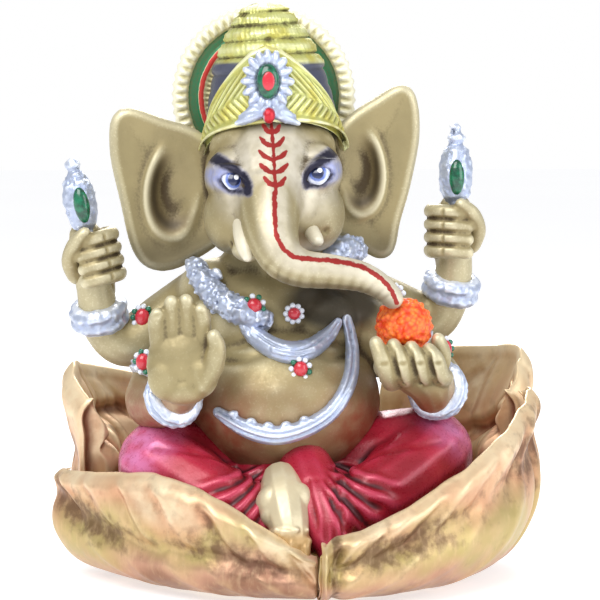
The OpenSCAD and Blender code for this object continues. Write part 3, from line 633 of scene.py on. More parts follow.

# %% [markdown]
# ## Leaf satin
# The leaf colour changes in bands that run level round the cup: brown at the foot, green
# gold above it, then pink copper and cream. Height therefore picks the colour and a slow noise
# makes the bands drift. Crests and cream patches get a painted highlight, the crease gets brown
# paint, and the fold valleys, the seam and the hollows get painted shade.

# %% Copper-gold leaf satin
def leaf_finish():
    """Copper gold that shifts with height from pink to green gold, with painted highlights on the
    crests and below the lip, brown paint and painted shade in the creases, and thinned dark paint
    and painted shade in the hollows.
    """
    p = Paint("leaf_satin")
    level = p.split(p.place)[2]
    drift = p.math("ADD", level, p.span(p.noise(0.05, 2.0), 0.3, 0.7, -5 * MM, 5 * MM))
    tone = p.mix(p.span(drift, 1 * MM, 7 * MM), colour(150, 108, 84), colour(192, 146, 120))
    tone = p.mix(p.span(drift, 5 * MM, 12 * MM), tone, colour(182, 162, 104))
    tone = p.mix(p.span(drift, 13 * MM, 23 * MM), tone, colour(202, 152, 116))
    tone = p.mix(p.span(drift, 30 * MM, 44 * MM), tone, colour(200, 168, 122))
    tone = p.mix(p.span(p.noise(0.12, 3.0), 0.42, 0.7, 0.0, 0.6), tone, colour(206, 170, 128))
    # Painted highlight on the crests.
    tone = p.mix(p.span(p.mark("crest"), 0.02, 0.45, 0.0, 0.75), tone, colour(238, 214, 172))
    # Painted highlight: cream patches below the lip.
    painted_highlight = p.math("MULTIPLY", p.mark("painted_highlight"), p.span(p.noise(0.3, 3.0), 0.25, 0.7, 0.3, 1.0))
    tone = p.mix(painted_highlight, tone, colour(240, 220, 184))
    # Brown paint along the crease, with painted shade in the fold valleys and at the seam.
    cloud = p.span(p.noise(0.35, 5.0), 0.3, 0.7, -0.4, 0.25)
    brown = p.math("ADD", p.mark("crease"), cloud)
    tone = p.mix(p.span(brown, 0.05, 0.85, 0.0, 0.78), tone, colour(92, 60, 42))
    # Dark wash in the fine crevices and painted shade in the broad hollows.
    tone = p.mix(p.span(p.mark("wash_and_shade"), 0.08, 0.6, 0.0, 0.85), tone, colour(112, 62, 38))
    brushed = p.noise(0.9, 4.0, p.stretch((1, 1, 0.3)))
    tone = p.mix(p.span(brushed, 0.45, 0.75, 0.0, 0.2), tone, colour(236, 206, 164))
    shine = p.math("ADD", p.span(brown, 0.2, 0.9, 0.4, 0.5), p.span(brushed, 0.3, 0.7, -0.05, 0.07))
    height = p.math("ADD", brushed, p.math("MULTIPLY", p.noise(0.2, 2.0), 2.0))
    return p.coat(tone, shine, 0.52, height, 0.035)


leaf_gold = leaf_finish()

# %% [markdown]
# ## Felt
# A dark pressed pad under the base. It needs no new shape, so it and the base cup keep
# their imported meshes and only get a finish.

# %% Felt
def felt_finish():
    p = Paint("pressed_felt")
    fibres = p.noise(3.0, 5.0)
    tone = p.mix(p.span(fibres, 0.35, 0.7), colour(34, 38, 38), colour(62, 66, 64))
    return p.coat(tone, 0.95, 0.0, fibres, 0.15, Sheen_Weight=0.5, Sheen_Roughness=0.5)


felt = felt_finish()
for node, finish in (("felt_pad", felt), ("base_cup", leaf_gold)):
    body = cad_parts[node]
    body.data.materials.clear()
    body.data.materials.append(finish)

# %% [markdown]
# ## Leaves
# Five thick leaves make the cup. Each is pressed from a sheet: a flat grid is bent so that
# its root lies under the base and its lip follows a rim curve, then it gets a long crease
# with a pillow above it, small wrinkles that run in from the lip, and a curled edge. A
# Solidify gives the wall and a subdivision rounds the lip. A cloth simulation would crumple
# differently each time, and these folds have known places, so they are modelled directly.

# %% The leaf press
seat_r = half("base_cup").x
leaf_root_z = 0.9
leaf_wall = 1.6
tuck_under = 2  # how far the root reaches in under the base


def leaf(name, rim, bulge, full, crease, folds, puff=3.0, scroll=0.0, tucks=()):
    """rim holds (angle, radius, height) from seam to seam, and crease (along, share of height).
    full sets how flat the leaf lies before it rises: the lower, the fuller. Each fold is
    (along, lean, depth, width, lower end), puff pads the inner wall, scroll curls the first
    end outwards, and each tuck is (along, up, slope, depth, width) of a fold in the padding."""
    bm = bmesh.new()
    bmesh.ops.create_grid(bm, x_segments=170, y_segments=64, size=0.5)
    grid = np.array([v.co for v in bm.verts])
    s, t = grid[:, 0] + 0.5, grid[:, 1] + 0.5
    run = smooth_line(rim, 12)
    steps = np.linspace(0, 1, len(run))
    angle, radius, height = (np.interp(s, steps, run[:, k]) for k in range(3))
    turn = t * math.pi / 2
    root = seat_r - tuck_under
    r = root + (radius - root) * np.sin(turn) ** full + bulge * np.sin(math.pi * t)
    z = leaf_root_z + (height - leaf_root_z) * (1 - np.cos(turn))
    a = np.radians(angle)
    out = np.stack([np.cos(a), np.sin(a), 0 * a], 1)
    co = r[:, None] * out + np.stack([0 * z, 0 * z, z], 1)
    band = np.arccos(1 - np.interp(s, *zip(*crease))) / (math.pi / 2)
    ends = rise(s, 0.0, 0.12) * fall(s, 0.88, 1.0)
    shift = -1.0 - 1.5 * mound(t, band, 0.07) * ends
    shift += 1.3 * mound(t - band, 0.24, 0.15) * ends
    shift += 0.8 * mound(t - band, -0.2, 0.14) * ends
    patchy = 0.62 + 0.38 * np.sin(13 * s + 4 * t + 1.2)
    # The dark share is brown paint along the crease band, with painted shade in the fold valleys
    # and at the scrolled seam.
    dark = mound(t - band, 0.03, 0.12) * (0.35 + 0.65 * ends) * patchy
    for along, lean, deep, wide, low_end in folds:
        path = along + lean * (1 - t)
        valley = mound(s, path, wide) * rise(t, low_end, low_end + 0.25)
        valley *= 1 - 0.75 * rise(t, 0.86, 1.0)
        shift += deep * (0.5 * mound(s - path, 1.9 * wide, wide) * ends - valley)
        # Painted shade in each fold valley.
        dark = np.maximum(dark, 0.55 * valley * patchy)
    # The lip rolls inwards, and so do the two ends
    side = np.minimum(s, 1 - s)
    shift += 0.9 * mound(t, 0.93, 0.05) - 1.9 * rise(t, 0.95, 1.0) ** 2
    shift -= 1.3 * fall(side, 0.0, 0.02) ** 2
    shift += scroll * (mound(s, 0.04, 0.035) - 0.45 * mound(s, 0.13, 0.03))
    # Painted shade in the slit where the end scrolls out.
    dark = np.maximum(dark, 0.9 * mound(s, 0.12, 0.03) * min(abs(scroll), 1))
    co += shift[:, None] * (out * 0.93 + np.array([0, 0, -0.2]))
    co[:, 2] = np.maximum(co[:, 2], 0.55 + 0.5 * fall(t, 0, 0.08))
    for v, place in zip(bm.verts, co):
        v.co = place
    bmesh.ops.recalc_face_normals(bm, faces=bm.faces)
    if sum(f.normal.dot(f.calc_center_median() - Vector((0, 0, 20))) for f in bm.faces) < 0:
        bmesh.ops.reverse_faces(bm, faces=bm.faces)
    mesh = bpy.data.meshes.new(name)
    bm.to_mesh(mesh)
    bm.free()
    clay = Clay(worked(mesh, ("SOLIDIFY", {"thickness": leaf_wall, "offset": -1.0})))
    count = len(s)
    inner = np.arange(len(clay.co)) >= count
    s2, t2 = np.tile(s, 2), np.tile(t, 2)
    edge = np.minimum(np.minimum(s2, 1 - s2) * 3.5, 1 - t2)
    fat = puff * np.clip(edge / 0.35, 0, 1) ** 0.55 * rise(t2, 0.05, 0.5)
    for along, up_at, level, deep, wide in tucks:
        fold = np.abs((s2 - along) * math.cos(level) + (t2 - up_at) * math.sin(level))
        fat -= deep * mound(fold, 0, wide) * np.clip(edge / 0.15, 0, 1)
    thin = 0.9 * fall(np.minimum(s2 * 3, np.minimum(3 - 3 * s2, 1 - t2)), 0.0, 0.06)
    inward = -np.tile(out, (2, 1)) * (fat - thin)[:, None]
    clay.co += inward * inner[:, None]
    clay.mark("crease", np.concatenate([dark, 0.25 * dark]))
    # Painted highlight: cream patches across the upper band, kept out of the creases.
    cream = rise(t2, 0.68, 0.84) * (0.55 + 0.45 * np.sin(19 * s2 + 3 * t2))
    clay.mark("painted_highlight", cream * (1 - np.clip(2.5 * np.tile(dark, 2), 0, 1)))
    mesh = worked(clay.finish(), ("SUBSURF", {"levels": 1, "render_levels": 1}))
    clay = Clay(mesh)
    clay.smooth(2)
    clay.mark_wash_shade_and_highlight(fine=3.0, broad=0.45, rounds=22)
    return keep(name, clay, leaf_gold)


front_seam, right_seam, back_right_seam, back_left_seam, left_seam = 270, 360, 58, 120, 179
front_right_rim = [(front_seam, 45, 14), (275, 45, 15.5), (288, 45, 19), (308, 46, 26),
                   (328, 48, 33), (344, 50, 38.5), (354, 51.5, 41), (right_seam, 51.5, 39)]
front_left_rim = [(left_seam, 54, 23), (184, 54, 24), (193, 50, 24.5), (206, 46, 25.5),
                  (219, 43.5, 26), (237, 42, 23), (253, 41, 17), (front_seam, 40.5, 10)]
back_left_rim = [(back_left_seam, 42, 37), (130, 44, 39), (146, 48, 42), (159, 52, 44.5),
                 (167, 53, 45.5), (left_seam, 49, 38)]
back_right_rim = [(right_seam - 360, 48.5, 39), (6, 51, 45), (12, 53, 48.5), (25, 51, 47.5),
                  (42, 46, 46), (back_right_seam, 42.5, 42)]
back_rim = [(back_right_seam, 39, 35), (72, 39, 40), (89, 39, 42), (106, 39, 40),
            (back_left_seam, 38, 35)]

leaf("leaf_front_left", front_left_rim, 2.5, 0.36,
     [(0, 0.84), (0.1, 0.8), (0.3, 0.56), (0.55, 0.36), (0.85, 0.46), (1, 0.55)],
     [(0.16, 0.35, 0.9, 0.022, 0.6), (0.3, 0.3, 0.6, 0.018, 0.66), (0.42, 0.32, 0.9, 0.022, 0.56),
      (0.55, 0.3, 0.6, 0.018, 0.56), (0.68, 0.3, 0.9, 0.022, 0.52), (0.8, 0.25, 0.6, 0.016, 0.55),
      (0.9, 0.2, 0.8, 0.016, 0.45)], puff=2.5)
leaf("leaf_front_right", front_right_rim, 3.5, 0.52,
     [(0, 0.52), (0.1, 0.5), (0.3, 0.58), (0.5, 0.62), (0.8, 0.72), (1, 0.8)],
     [(0.18, -0.3, 0.9, 0.02, 0.5), (0.3, -0.34, 0.6, 0.018, 0.58), (0.42, -0.35, 1.1, 0.022, 0.58),
      (0.56, -0.35, 0.7, 0.02, 0.6), (0.68, -0.3, 1.1, 0.022, 0.6), (0.8, -0.12, 0.9, 0.018, 0.2),
      (0.9, -0.05, 1.0, 0.018, 0.15)], puff=2.5, scroll=2.6)
leaf("leaf_back_left", back_left_rim, 2, 0.45, [(0, 0.6), (0.5, 0.55), (1, 0.6)],
     [(0.3, 0.1, 0.7, 0.03, 0.2), (0.6, 0.1, 0.7, 0.03, 0.3), (0.82, 0.05, 0.7, 0.025, 0.2)],
     puff=9.5, tucks=[(0.6, 0.84, 1.45, 2.6, 0.03), (0.72, 0.6, 1.2, 2.6, 0.035),
                      (0.86, 0.8, 0.5, 1.2, 0.02), (0.5, 0.9, -0.6, 1.0, 0.02)])
leaf("leaf_back_right", back_right_rim, 2.5, 0.5, [(0, 0.6), (0.5, 0.5), (1, 0.6)],
     [(0.2, 0.1, 0.7, 0.03, 0.2), (0.5, 0.1, 0.7, 0.03, 0.3), (0.8, 0.05, 0.7, 0.025, 0.2)],
     puff=8.5, tucks=[(0.16, 0.86, 0.7, 1.8, 0.022), (0.3, 0.84, 1.0, 2.0, 0.025),
                      (0.45, 0.74, 1.35, 2.4, 0.03), (0.62, 0.9, 0.8, 1.4, 0.02)])
leaf("leaf_back", back_rim, 2, 0.5, [(0, 0.55), (0.5, 0.5), (1, 0.55)],
     [(0.25, 0.1, 0.7, 0.03, 0.2), (0.5, 0.1, 0.7, 0.03, 0.3), (0.75, 0.05, 0.7, 0.025, 0.2)],
     puff=5.0)

# %% [markdown]
# ## Torso and arms
# The belly, chest and four arms are modelled as one body so that the shoulders flow, and
# then cut where the castings are pinned together. A metaball would also melt them, but rolls
# and lumps keep each muscle's size in plain sight.

# %% Body lumps
arm_lines = {
    "right_rear_arm": [(-19, 4, 63, 6.5), (-29, 6, 56, 6.3), (-38, 5, 50.5, 5.8),
                       (-43.5, 3.5, 54.5, 4.9), (-45, 1, 61, 4.3), (-46, 0, 66, 3.9)],
    "left_rear_arm": [(9, 4, 63, 6.5), (20, 6, 58, 6.3), (29, 6, 55, 5.8),
                      (33, 4, 60, 4.9), (34, 2, 66, 4.3), (34, 1, 71, 3.9)],
    "right_front_arm": [(-19, -4, 57, 6.8), (-27, -6, 49, 6.6), (-33, -9, 40, 6.2),
                        (-31.5, -16, 39.5, 5.3), (-28.5, -22.5, 42, 4.6), (-27.5, -24.5, 45, 4.2)],
    "left_front_arm": [(9, -4, 57, 6.8), (20, -6, 50, 6.6), (28.5, -8, 43, 6.2),
                       (29, -14, 41, 5.3), (27, -19, 42.5, 4.7), (25.5, -21.5, 44, 4.4)],
}
shoulders = {"right_rear_arm": (-23, 5, 60), "left_rear_arm": (14, 5, 60),
             "right_front_arm": (-25, -6, 52), "left_front_arm": (16, -6, 52.5)}


def body_clay(voxel):
    lumps = [ball((-5, 0, 22), (19, 15, 13)), ball((-4.5, -6.2, 38.5), (21.3, 18.3, 17.5)),
             ball((-5, -1, 56), (18.5, 12.5, 14)), ball((-13.5, -7.5, 55.5), (9, 7, 7.5)),
             ball((4, -7.5, 55.5), (9, 7, 7.5)), ball((-5, 1, 68), (13, 9.5, 8)),
             ball((-19, 1, 62), (8.5, 8, 7.5)), ball((9.5, 1, 62), (8.5, 8, 7.5)),
             roll([(-5, -1, 66, 9), (-5.5, -2, 78, 9)])]
    clay = fuse(lumps + [roll(line) for line in arm_lines.values()], voxel)
    clay.smooth(14)
    return clay


body = body_clay(0.5)
# Breast folds, and a crease in the crook of each rear arm
body.groove([(-21, -13, 50.5), (-14, -17, 48.5), (-6, -17, 50.5)], 1.4, 0.9)
body.groove([(-4, -17, 50.5), (4, -17, 48.5), (11, -13, 50.5)], 1.4, 0.9)
for arm, sign in (("right_rear_arm", -1), ("left_rear_arm", 1)):
    elbow = arm_lines[arm][2]
    crook = [(elbow[0] - sign * 3, -1.5, elbow[2] + 5), (elbow[0] + sign * 2, -1.8, elbow[2] + 4)]
    body.groove(crook, 0.8, 0.6)
body.smooth(2)
body.mark_wash_shade_and_highlight(fine=5.0, broad=0.6, rounds=30)
low_belly = fall(body.co[:, 2], 34, 50) * fall(body.co[:, 1], -8, 6)
low_belly *= 0.35 + 0.65 * rise(np.abs(body.co[:, 0] + 4), 4, 15)
body.mark("blush", 0.95 * low_belly)
body.no_lines()
under_trunk = egg_far(body.co, (7.0, -13.0, 60.8), (12, 14, 6.8))
body.mark("shade", fall(under_trunk, 0.7, 1.2))
print("body has", len(body.co), "points")

# %% Who owns which point
owner = np.zeros(len(body.co), int)
for number, (arm, line) in enumerate(arm_lines.items(), 1):
    inner, outer = np.array(line[0][:3]), np.array(line[1][:3])
    beyond = (body.co - np.array(shoulders[arm])) @ (outer - inner) > 0
    others = [near(body.co, smooth_line(l))[0] for a, l in arm_lines.items() if a != arm]
    own = near(body.co, smooth_line(line))[0]
    owner[beyond & (own < 9.5) & (own <= np.min(others, 0))] = number
body.finish()
for label, name in enumerate(("torso", *arm_lines)):
    keep(name, part(body, owner, label), flesh)

# %% [markdown]
# ## Head, trunk and ears
# The brow runs down into the trunk without a break, so the whole head is one lump of clay
# that is cut afterwards at the ears and below the cheeks. The ears are pressed plates with
# a rolled rim, hollowed from the front with a broad thumb stroke.

# %% Head lumps
trunk_line = [(-8.5, -20.5, 84, 7.2), (-8.9, -25.4, 79, 6.3), (-8.3, -28.4, 74.8, 5.4),
              (-6.4, -30, 71.2, 4.7), (-2.6, -30.8, 69.2, 4.1), (3.6, -31, 68.5, 3.7),
              (9.6, -30.6, 67.4, 3.3), (13.9, -29.2, 65.2, 2.8), (16.6, -27.2, 62.6, 2.4)]
ear_outlines = {
    "right_ear": [(-15, 86), (-22.4, 95), (-30.1, 98), (-38.9, 100.4), (-40.2, 93), (-38, 82),
                  (-35.6, 72), (-32, 68.4), (-26, 69.5), (-17, 76)],
    "left_ear": [(4, 90), (10.1, 98), (17.2, 103), (22.8, 105.4), (24.4, 97.3), (22.6, 86.3),
                 (20.2, 77.6), (18.6, 71), (14.5, 72), (6, 78)],
}
# Each ear's bowl: its middle (x, z), its half sizes, and how far it leans in degrees
ear_bowls = {"right_ear": ((-27.6, 84.5), (5.6, 9.4), -8),
             "left_ear": ((12.4, 88.6), (4.8, 8.6), 6)}


def ear_plate(outline):
    """A plate cut to the outline, with a rolled rim."""
    thick, y = 3.4, -0.9
    line = smooth_line(outline + outline[:1], 5)[:-1]
    bm = bmesh.new()
    face = bm.faces.new([bm.verts.new((x, y, z)) for x, z in line])
    grown = bmesh.ops.extrude_face_region(bm, geom=[face])["geom"]
    bmesh.ops.translate(bm, verts=[v for v in grown if isinstance(v, bmesh.types.BMVert)],
                        vec=(0, thick, 0))
    bmesh.ops.recalc_face_normals(bm, faces=bm.faces)
    bmesh.ops.triangulate(bm, faces=bm.faces)
    rim = roll([(x, y + thick / 2 - 0.2, z, 1.8) for x, z in line], steps=1, closed=True)
    return [bm, rim]


eyes = {"right_eye": (mid("right_eye"), -1), "left_eye": (mid("left_eye"), 1)}
lid_slant = math.radians(22)


def eye_plane(points, eye, side):
    """Across (away from the nose) and up, in the plane of a slanted eye."""
    x, z = (points[:, 0] - eye[0]) * side, points[:, 2] - eye[2]
    c, k = math.cos(lid_slant), math.sin(lid_slant)
    return x * c + z * k, z * c - x * k


def eye_point(eye, side, across, up, out=2.5):
    c, k = math.cos(lid_slant), math.sin(lid_slant)
    return (eye[0] + side * (across * c - up * k), eye[1] - out, eye[2] + across * k + up * c)


def head_clay(voxel):
    lumps = [ball((-6.6, -3.5, 88), (15.0, 13.0, 12.5)), ball((-6.9, -6.5, 93.5), (13.8, 10.5, 8)),
             ball((-15.4, -12, 79), (6.8, 8, 8.2)), ball((1.4, -13, 79.5), (6.8, 8, 8.2)),
             ball((-6.5, -12, 76), (9.5, 9.5, 7)), ball((-13.2, -19.5, 73), (3.6, 5.6, 3.2)),
             ball((-15.8, -12.6, 87.5), (6.2, 6.6, 6.4)), ball((1.4, -13.6, 88.5), (6.2, 6.6, 6.4)),
             ball((-13.0, -16.5, 80.5), (6, 6, 7)), ball((-2.6, -17.5, 81), (6, 6, 7)),
             roll([(-6.9, -6.4, 95, 9.8), (-7.5, -12, 90, 9.6), (-8.1, -17, 86, 8.6),
                   (-8.6, -21, 82.5, 7.4)]), roll(trunk_line, 8)]
    for eye, side in eyes.values():
        upper = ((-3.2, -0.6, 1.6, 0.7), (-1.6, 1.7, 2.3, 1.0), (0.6, 2.5, 2.3, 1.1),
                 (2.8, 2.0, 1.6, 1.0), (4.6, 1.6, 0.2, 0.7))
        lower = ((-2.6, -1.0, 1.7, 0.6), (-0.6, -2.0, 2.1, 0.6), (1.6, -1.8, 1.9, 0.6),
                 (3.2, -0.4, 1.4, 0.6))
        lumps.append(ball(eye, (4.7, 2.9, 3.6), (0, -22 * side, 0)))
        lumps += [roll([eye_point(eye, side, a, u, o) + (r,) for a, u, o, r in lid])
                  for lid in (upper, lower)]
    for outline in ear_outlines.values():
        lumps += ear_plate(outline)
    return fuse(lumps, voxel).smooth(7)


head = head_clay(0.38)
for cheek in ((-14, -17.5, 79.5), (1.2, -18.5, 80)):
    spread = egg_far(head.co, cheek, (9, 9, 8.5))
    head.smooth(80, where=fall(spread, 0.65, 1.0))

# %% [markdown]
# The ear bowls, the almond of each eye, the folds beside the mouth and the trunk's rings are
# pressed in with the same few strokes that a modelling tool would make.

# %% Ear bowls
hollow = np.zeros(len(head.co))
for ear, ((bx, bz), (rx, rz), lean) in ear_bowls.items():
    rim = [(x, 0.8, z) for x, z in smooth_line(ear_outlines[ear] + ear_outlines[ear][:1], 5)]
    away = near(head.co, rim)[0]
    front = fall(head.normals()[:, 1], -0.5, 0.2)
    beside = rise(np.abs(head.co[:, 0] + 7.0), 12.5, 15.5) * (head.co[:, 1] > -6)
    beside *= (np.sign(head.co[:, 0] + 7.0) == np.sign(bx + 7.0)) * front
    c, k = math.cos(math.radians(lean)), math.sin(math.radians(lean))
    dx, dz = head.co[:, 0] - bx, head.co[:, 2] - bz
    d = np.hypot((dx * c + dz * k) / rx, (dz * c - dx * k) / rz)
    outer = rise(np.sign(bx + 7.0) * dx - 0.35 * dz, -3.5, 3.5)
    plate = rise(away, 1.0, 7.0) * rise(d, 0.9, 1.4)
    bowl = (1 - rise(d, 0.35, 1.04)) * (0.35 + 0.65 * outer)
    head.co[:, 1] += beside * (0.6 * plate + 2.4 * bowl
                               - 0.8 * mound(d, 1.16, 0.16) * outer)
    hollow = np.maximum(hollow, beside * mound(d, 0.84, 0.2) * outer)
    hollow = np.maximum(hollow, 0.3 * beside * bowl)

# %% Eyes, folds and rings
kohl = np.full(len(head.co), unpainted)
# The next line starts two painted highlights: a paler front of the face and top of the trunk, and a
# blue-white patch beside each eye.
face_highlight, eye_highlight = np.zeros(len(head.co)), np.zeros(len(head.co))
facing = head.co[:, 1] < -13
flat = head.co * np.array([1, 0, 1])
for eye, side in eyes.values():
    across, up = eye_plane(head.co, eye, side)
    lens = np.maximum(up - 1.75 * (1 - (across / 2.9) ** 2), -up - 1.5 * (1 - (across / 2.9) ** 2))
    open_eye = fall(lens, -0.35, 0.1) * (np.abs(across) < 2.9) * facing
    head.co[:, 1] += 1.7 * open_eye
    band = [eye_point(eye, side, a, u, eye[1]) for a, u in
            ((-3.1, -0.8), (-2.4, 0.9), (-0.6, 2.1), (1.6, 2.7), (3.9, 3.0), (6.0, 3.2))]
    band_far, band_at = near(flat, smooth_line(np.array(band) * np.array([1, 0, 1])))
    kohl = np.minimum(kohl, np.where(facing, band_far * (1.0 + 0.5 * (1 - band_at)), unpainted))
    lower = [eye_point(eye, side, a, u, eye[1]) for a, u in ((-2.8, -0.9), (0, -1.9), (2.6, -0.7))]
    lower_far = near(flat, smooth_line(np.array(lower) * np.array([1, 0, 1])))[0]
    kohl = np.minimum(kohl, np.where(facing, lower_far + 0.75, unpainted))
    # Painted highlight: a blue-white patch on the outer side of each eye.
    halo_far = np.hypot((across - 2.2) / 4.2, (up + 0.3) / 2.7)
    eye_highlight = np.maximum(eye_highlight, fall(halo_far, 0.55, 1.25) * facing)
for k in range(12):
    t = 0.36 + 0.05 * k
    line = smooth_line(trunk_line, 8)
    i = int(t * (len(line) - 1))
    spot, ahead = line[i, :3], line[i + 1, :3] - line[i, :3]
    off = (head.co - spot) @ (ahead / np.linalg.norm(ahead))
    close = near(head.co, line[i - 1:i + 2])[0] < line[i, 3] * 1.6
    under = fall(head.normals()[:, 2], -0.5, 0.5) * 0.8 + 0.2
    head.push(-0.1 * mound(off, 0, 0.45) * close * under)
for fold, width, depth in (
        ([(-16.6, -21, 80), (-15.2, -23.4, 77), (-13.2, -26, 73)], 0.9, 0.3),
        ([(1.2, -21.6, 80), (0.4, -24.4, 77), (-1.0, -27, 73.6)], 0.9, 0.3),
        ([(-16.4, -19, 73.6), (-13.6, -23.6, 71.6), (-11, -26, 71.2)], 0.6, 0.9),
        ([(3.4, -19, 76.5), (3.0, -21.4, 74.4), (1.2, -23, 72.6)], 0.8, 0.5),
        ([(-16, -16.5, 82), (-18, -15, 79), (-18.4, -14, 75)], 1.0, 0.35),
        ([(3, -16.5, 82), (5, -15, 79), (5.4, -14, 75)], 1.0, 0.35)):
    head.groove(fold, width, depth)
head.smooth(1)
head.mark_wash_shade_and_highlight(fine=5.0, broad=0.6, rounds=34)

# %% [markdown]
# The painted line starts as a small leaf-and-bead ornament on the brow, runs down between
# the eyes and follows the top of the trunk. It is an ornament and holds no letters.

# %% Painted line and ornament
top_of_trunk = [(-8.2, 0, 84.6), (-8.3, 0, 80.5), (-8.2, 0, 76.6), (-7.0, 0, 73.8), (-4.6, 0, 71.9),
                (-0.6, 0, 71.3), (4.0, 0, 70.9), (9.6, 0, 69.6), (13.3, 0, 67.3), (15.8, 0, 64.6),
                (17.2, 0, 61.8)]
brow_x, brow_low, brow_high = -7.9, 84.5, 99.4
line_far = near(flat, smooth_line(top_of_trunk))[0] * 0.95
brow = near(flat, [(brow_x, 0, brow_low), (brow_x, 0, brow_high)])[0] * 1.25
for k in range(5):
    z = brow_low + 1.6 + 2.7 * k
    wide = (2.2, 2.9, 2.9, 2.5, 1.8)[k]
    for sign in (-1, 1):
        leaflet = smooth_line([(brow_x + sign * out, 0, z + up) for out, up in
                               ((0.2, 0.0), (wide * 0.55, 0.5), (wide, 1.7))], 6)
        far, at = near(flat, leaflet)
        brow = np.minimum(brow, far * 1.2 - 0.28 * np.sin(math.pi * at) + 0.1)
line_far = np.minimum(line_far, brow)
faced = (head.co[:, 1] < -15) & (head.normals()[:, 1] < -0.12)
head.mark("line", np.where(faced, line_far, unpainted))
head.mark("kohl", kohl)
# Painted highlight: the front of the face and the top of the trunk are painted paler.
front_face = egg_far(head.co, (-7, -19, 88), (15, 9, 13))
ridge = near(flat, smooth_line(top_of_trunk))[0]
face_highlight = np.maximum(fall(front_face, 0.55, 1.15), 0.8 * faced * fall(ridge, 1.0, 4.5))
head.mark("face_highlight", face_highlight)
head.mark("eye_highlight", eye_highlight)
under = egg_far(head.co, (-6.6, -14.5, 101), (17, 10, 4.6))
behind = rise(head.co[:, 1], -22, -12) * fall(head.co[:, 2], 70, 78)
beside_mouth = egg_far(head.co, (-12.2, -24, 73.4), (2.6, 5, 2.8))
trunk_under = fall(head.normals()[:, 2], -0.9, -0.2) * (head.co[:, 1] < -24) * (head.co[:, 0] > -8)
head.mark("shade", np.maximum.reduce([0.7 * fall(under, 0.5, 1.1), 0.9 * hollow, 0.6 * behind,
                                      0.5 * fall(beside_mouth, 0.4, 1.1), 0.55 * trunk_under]))
head.mark("blush", 0.15 * hollow)
print("head has", len(head.co), "points")

# %% Cut the head
trunk_run = smooth_line(trunk_line)
own = np.zeros(len(head.co), int)
own[(near(head.co, trunk_run[7:])[0] < 7.6) & (head.co[:, 1] < -20) & (head.co[:, 2] < 82)] = 1
own[(head.co[:, 0] < -20.5) & (head.co[:, 1] > -6)] = 2
own[(head.co[:, 0] > 7.6) & (head.co[:, 1] > -6)] = 3
head.finish()
for label, name in enumerate(("head", "trunk", "right_ear", "left_ear")):
    keep(name, part(head, own, label), flesh)

# %% [markdown]
# ## Eyes and tusks
# The eyes are set glossy: white, a blue iris, a dark pupil high up and a painted glint. The
# pattern reads the distance from each eye's own gaze line, so it can't slide.

# %% Eyes
def eye_finish(name, centre, gaze):
    p = Paint(name)
    spot = p.node("Mapping", Vector=p.place, Location=[-v * MM for v in centre]).outputs[0]
    x, y, z = p.split(spot)
    along = p.math("SUBTRACT", x, gaze[0] * MM)
    up = p.math("SUBTRACT", z, gaze[1] * MM)
    far = p.math("ADD", p.math("DIVIDE", p.length(along, up), MM),
                 p.span(p.noise(1.6, 2.0), 0.0, 1.0, -0.12, 0.12))
    tone = p.mix(p.span(p.noise(0.8, 2.0), 0.3, 0.7), colour(236, 238, 248), colour(206, 214, 240))
    tone = p.mix(p.span(far, 2.1, 1.6), tone, colour(92, 116, 190))
    tone = p.mix(p.span(far, 1.5, 1.15), tone, colour(30, 38, 74))
    gx = p.math("SUBTRACT", x, (gaze[0] + 0.45) * MM)
    gz = p.math("SUBTRACT", z, (gaze[1] + 0.5) * MM)
    tone = p.mix(p.span(p.length(gx, gz), 0.62 * MM, 0.4 * MM), tone, colour(252, 252, 255))
    return p.coat(tone, 0.18, 0.0, p.noise(0.9, 2.0), 0.03, Coat_Weight=0.7, Coat_Roughness=0.05)


eye_r = 3.0
for name, gaze in (("right_eye", (0.2, 0.5)), ("left_eye", (-0.3, 0.7))):
    centre = mid(name)
    keep(name, ball(centre, eye_r, fine=5),
         eye_finish(name + "_enamel", centre, gaze))

tusk_lines = {
    "right_tusk": [(-14.2, -20, 78, 2.2), (-14.4, -24.4, 75.6, 2.1), (-14.2, -27, 73.2, 1.7),
                   (-13.8, -28.2, 71.6, 1.2)],
    "left_tusk_stub": [(0.2, -20.0, 76.4, 1.7), (1.0, -23.4, 74.8, 1.5), (1.2, -24.2, 74.5, 1.3)],
}
for name, line in tusk_lines.items():
    clay = fuse([roll(line)], 0.22)
    clay.smooth(4).mark_wash_shade_and_highlight(rounds=10)
    keep(name, clay, tusk_ivory)

# %% [markdown]
# ## Hands
# A hand this small is a palm, five rolls and a few tool lines. Each is modelled upright
# about its wrist, and then turned to its place, so that the four hands share one way of
# building. The fingers are pressed together, as in the mould, with a groove between two.

# %% Hand building
hand_voxel = 0.3


def placed(clay, at, turn):
    """The clay moved to its place, and turned by degrees."""
    m = np.array(pose(at, turn))
    clay.co = clay.co @ m[:3, :3].T + m[:3, 3]
    clay.normals()
    return clay


def finish_hand(name, clay, blushed=False):
    clay.mark_wash_shade_and_highlight(fine=5.5, broad=0.9, rounds=18)
    level = clay.co[:, 2] - clay.co[:, 2].min()
    clay.mark("blush", 0.75 * blushed * fall(level, 1, 7.5))
    return keep(name, clay.no_lines(), flesh)


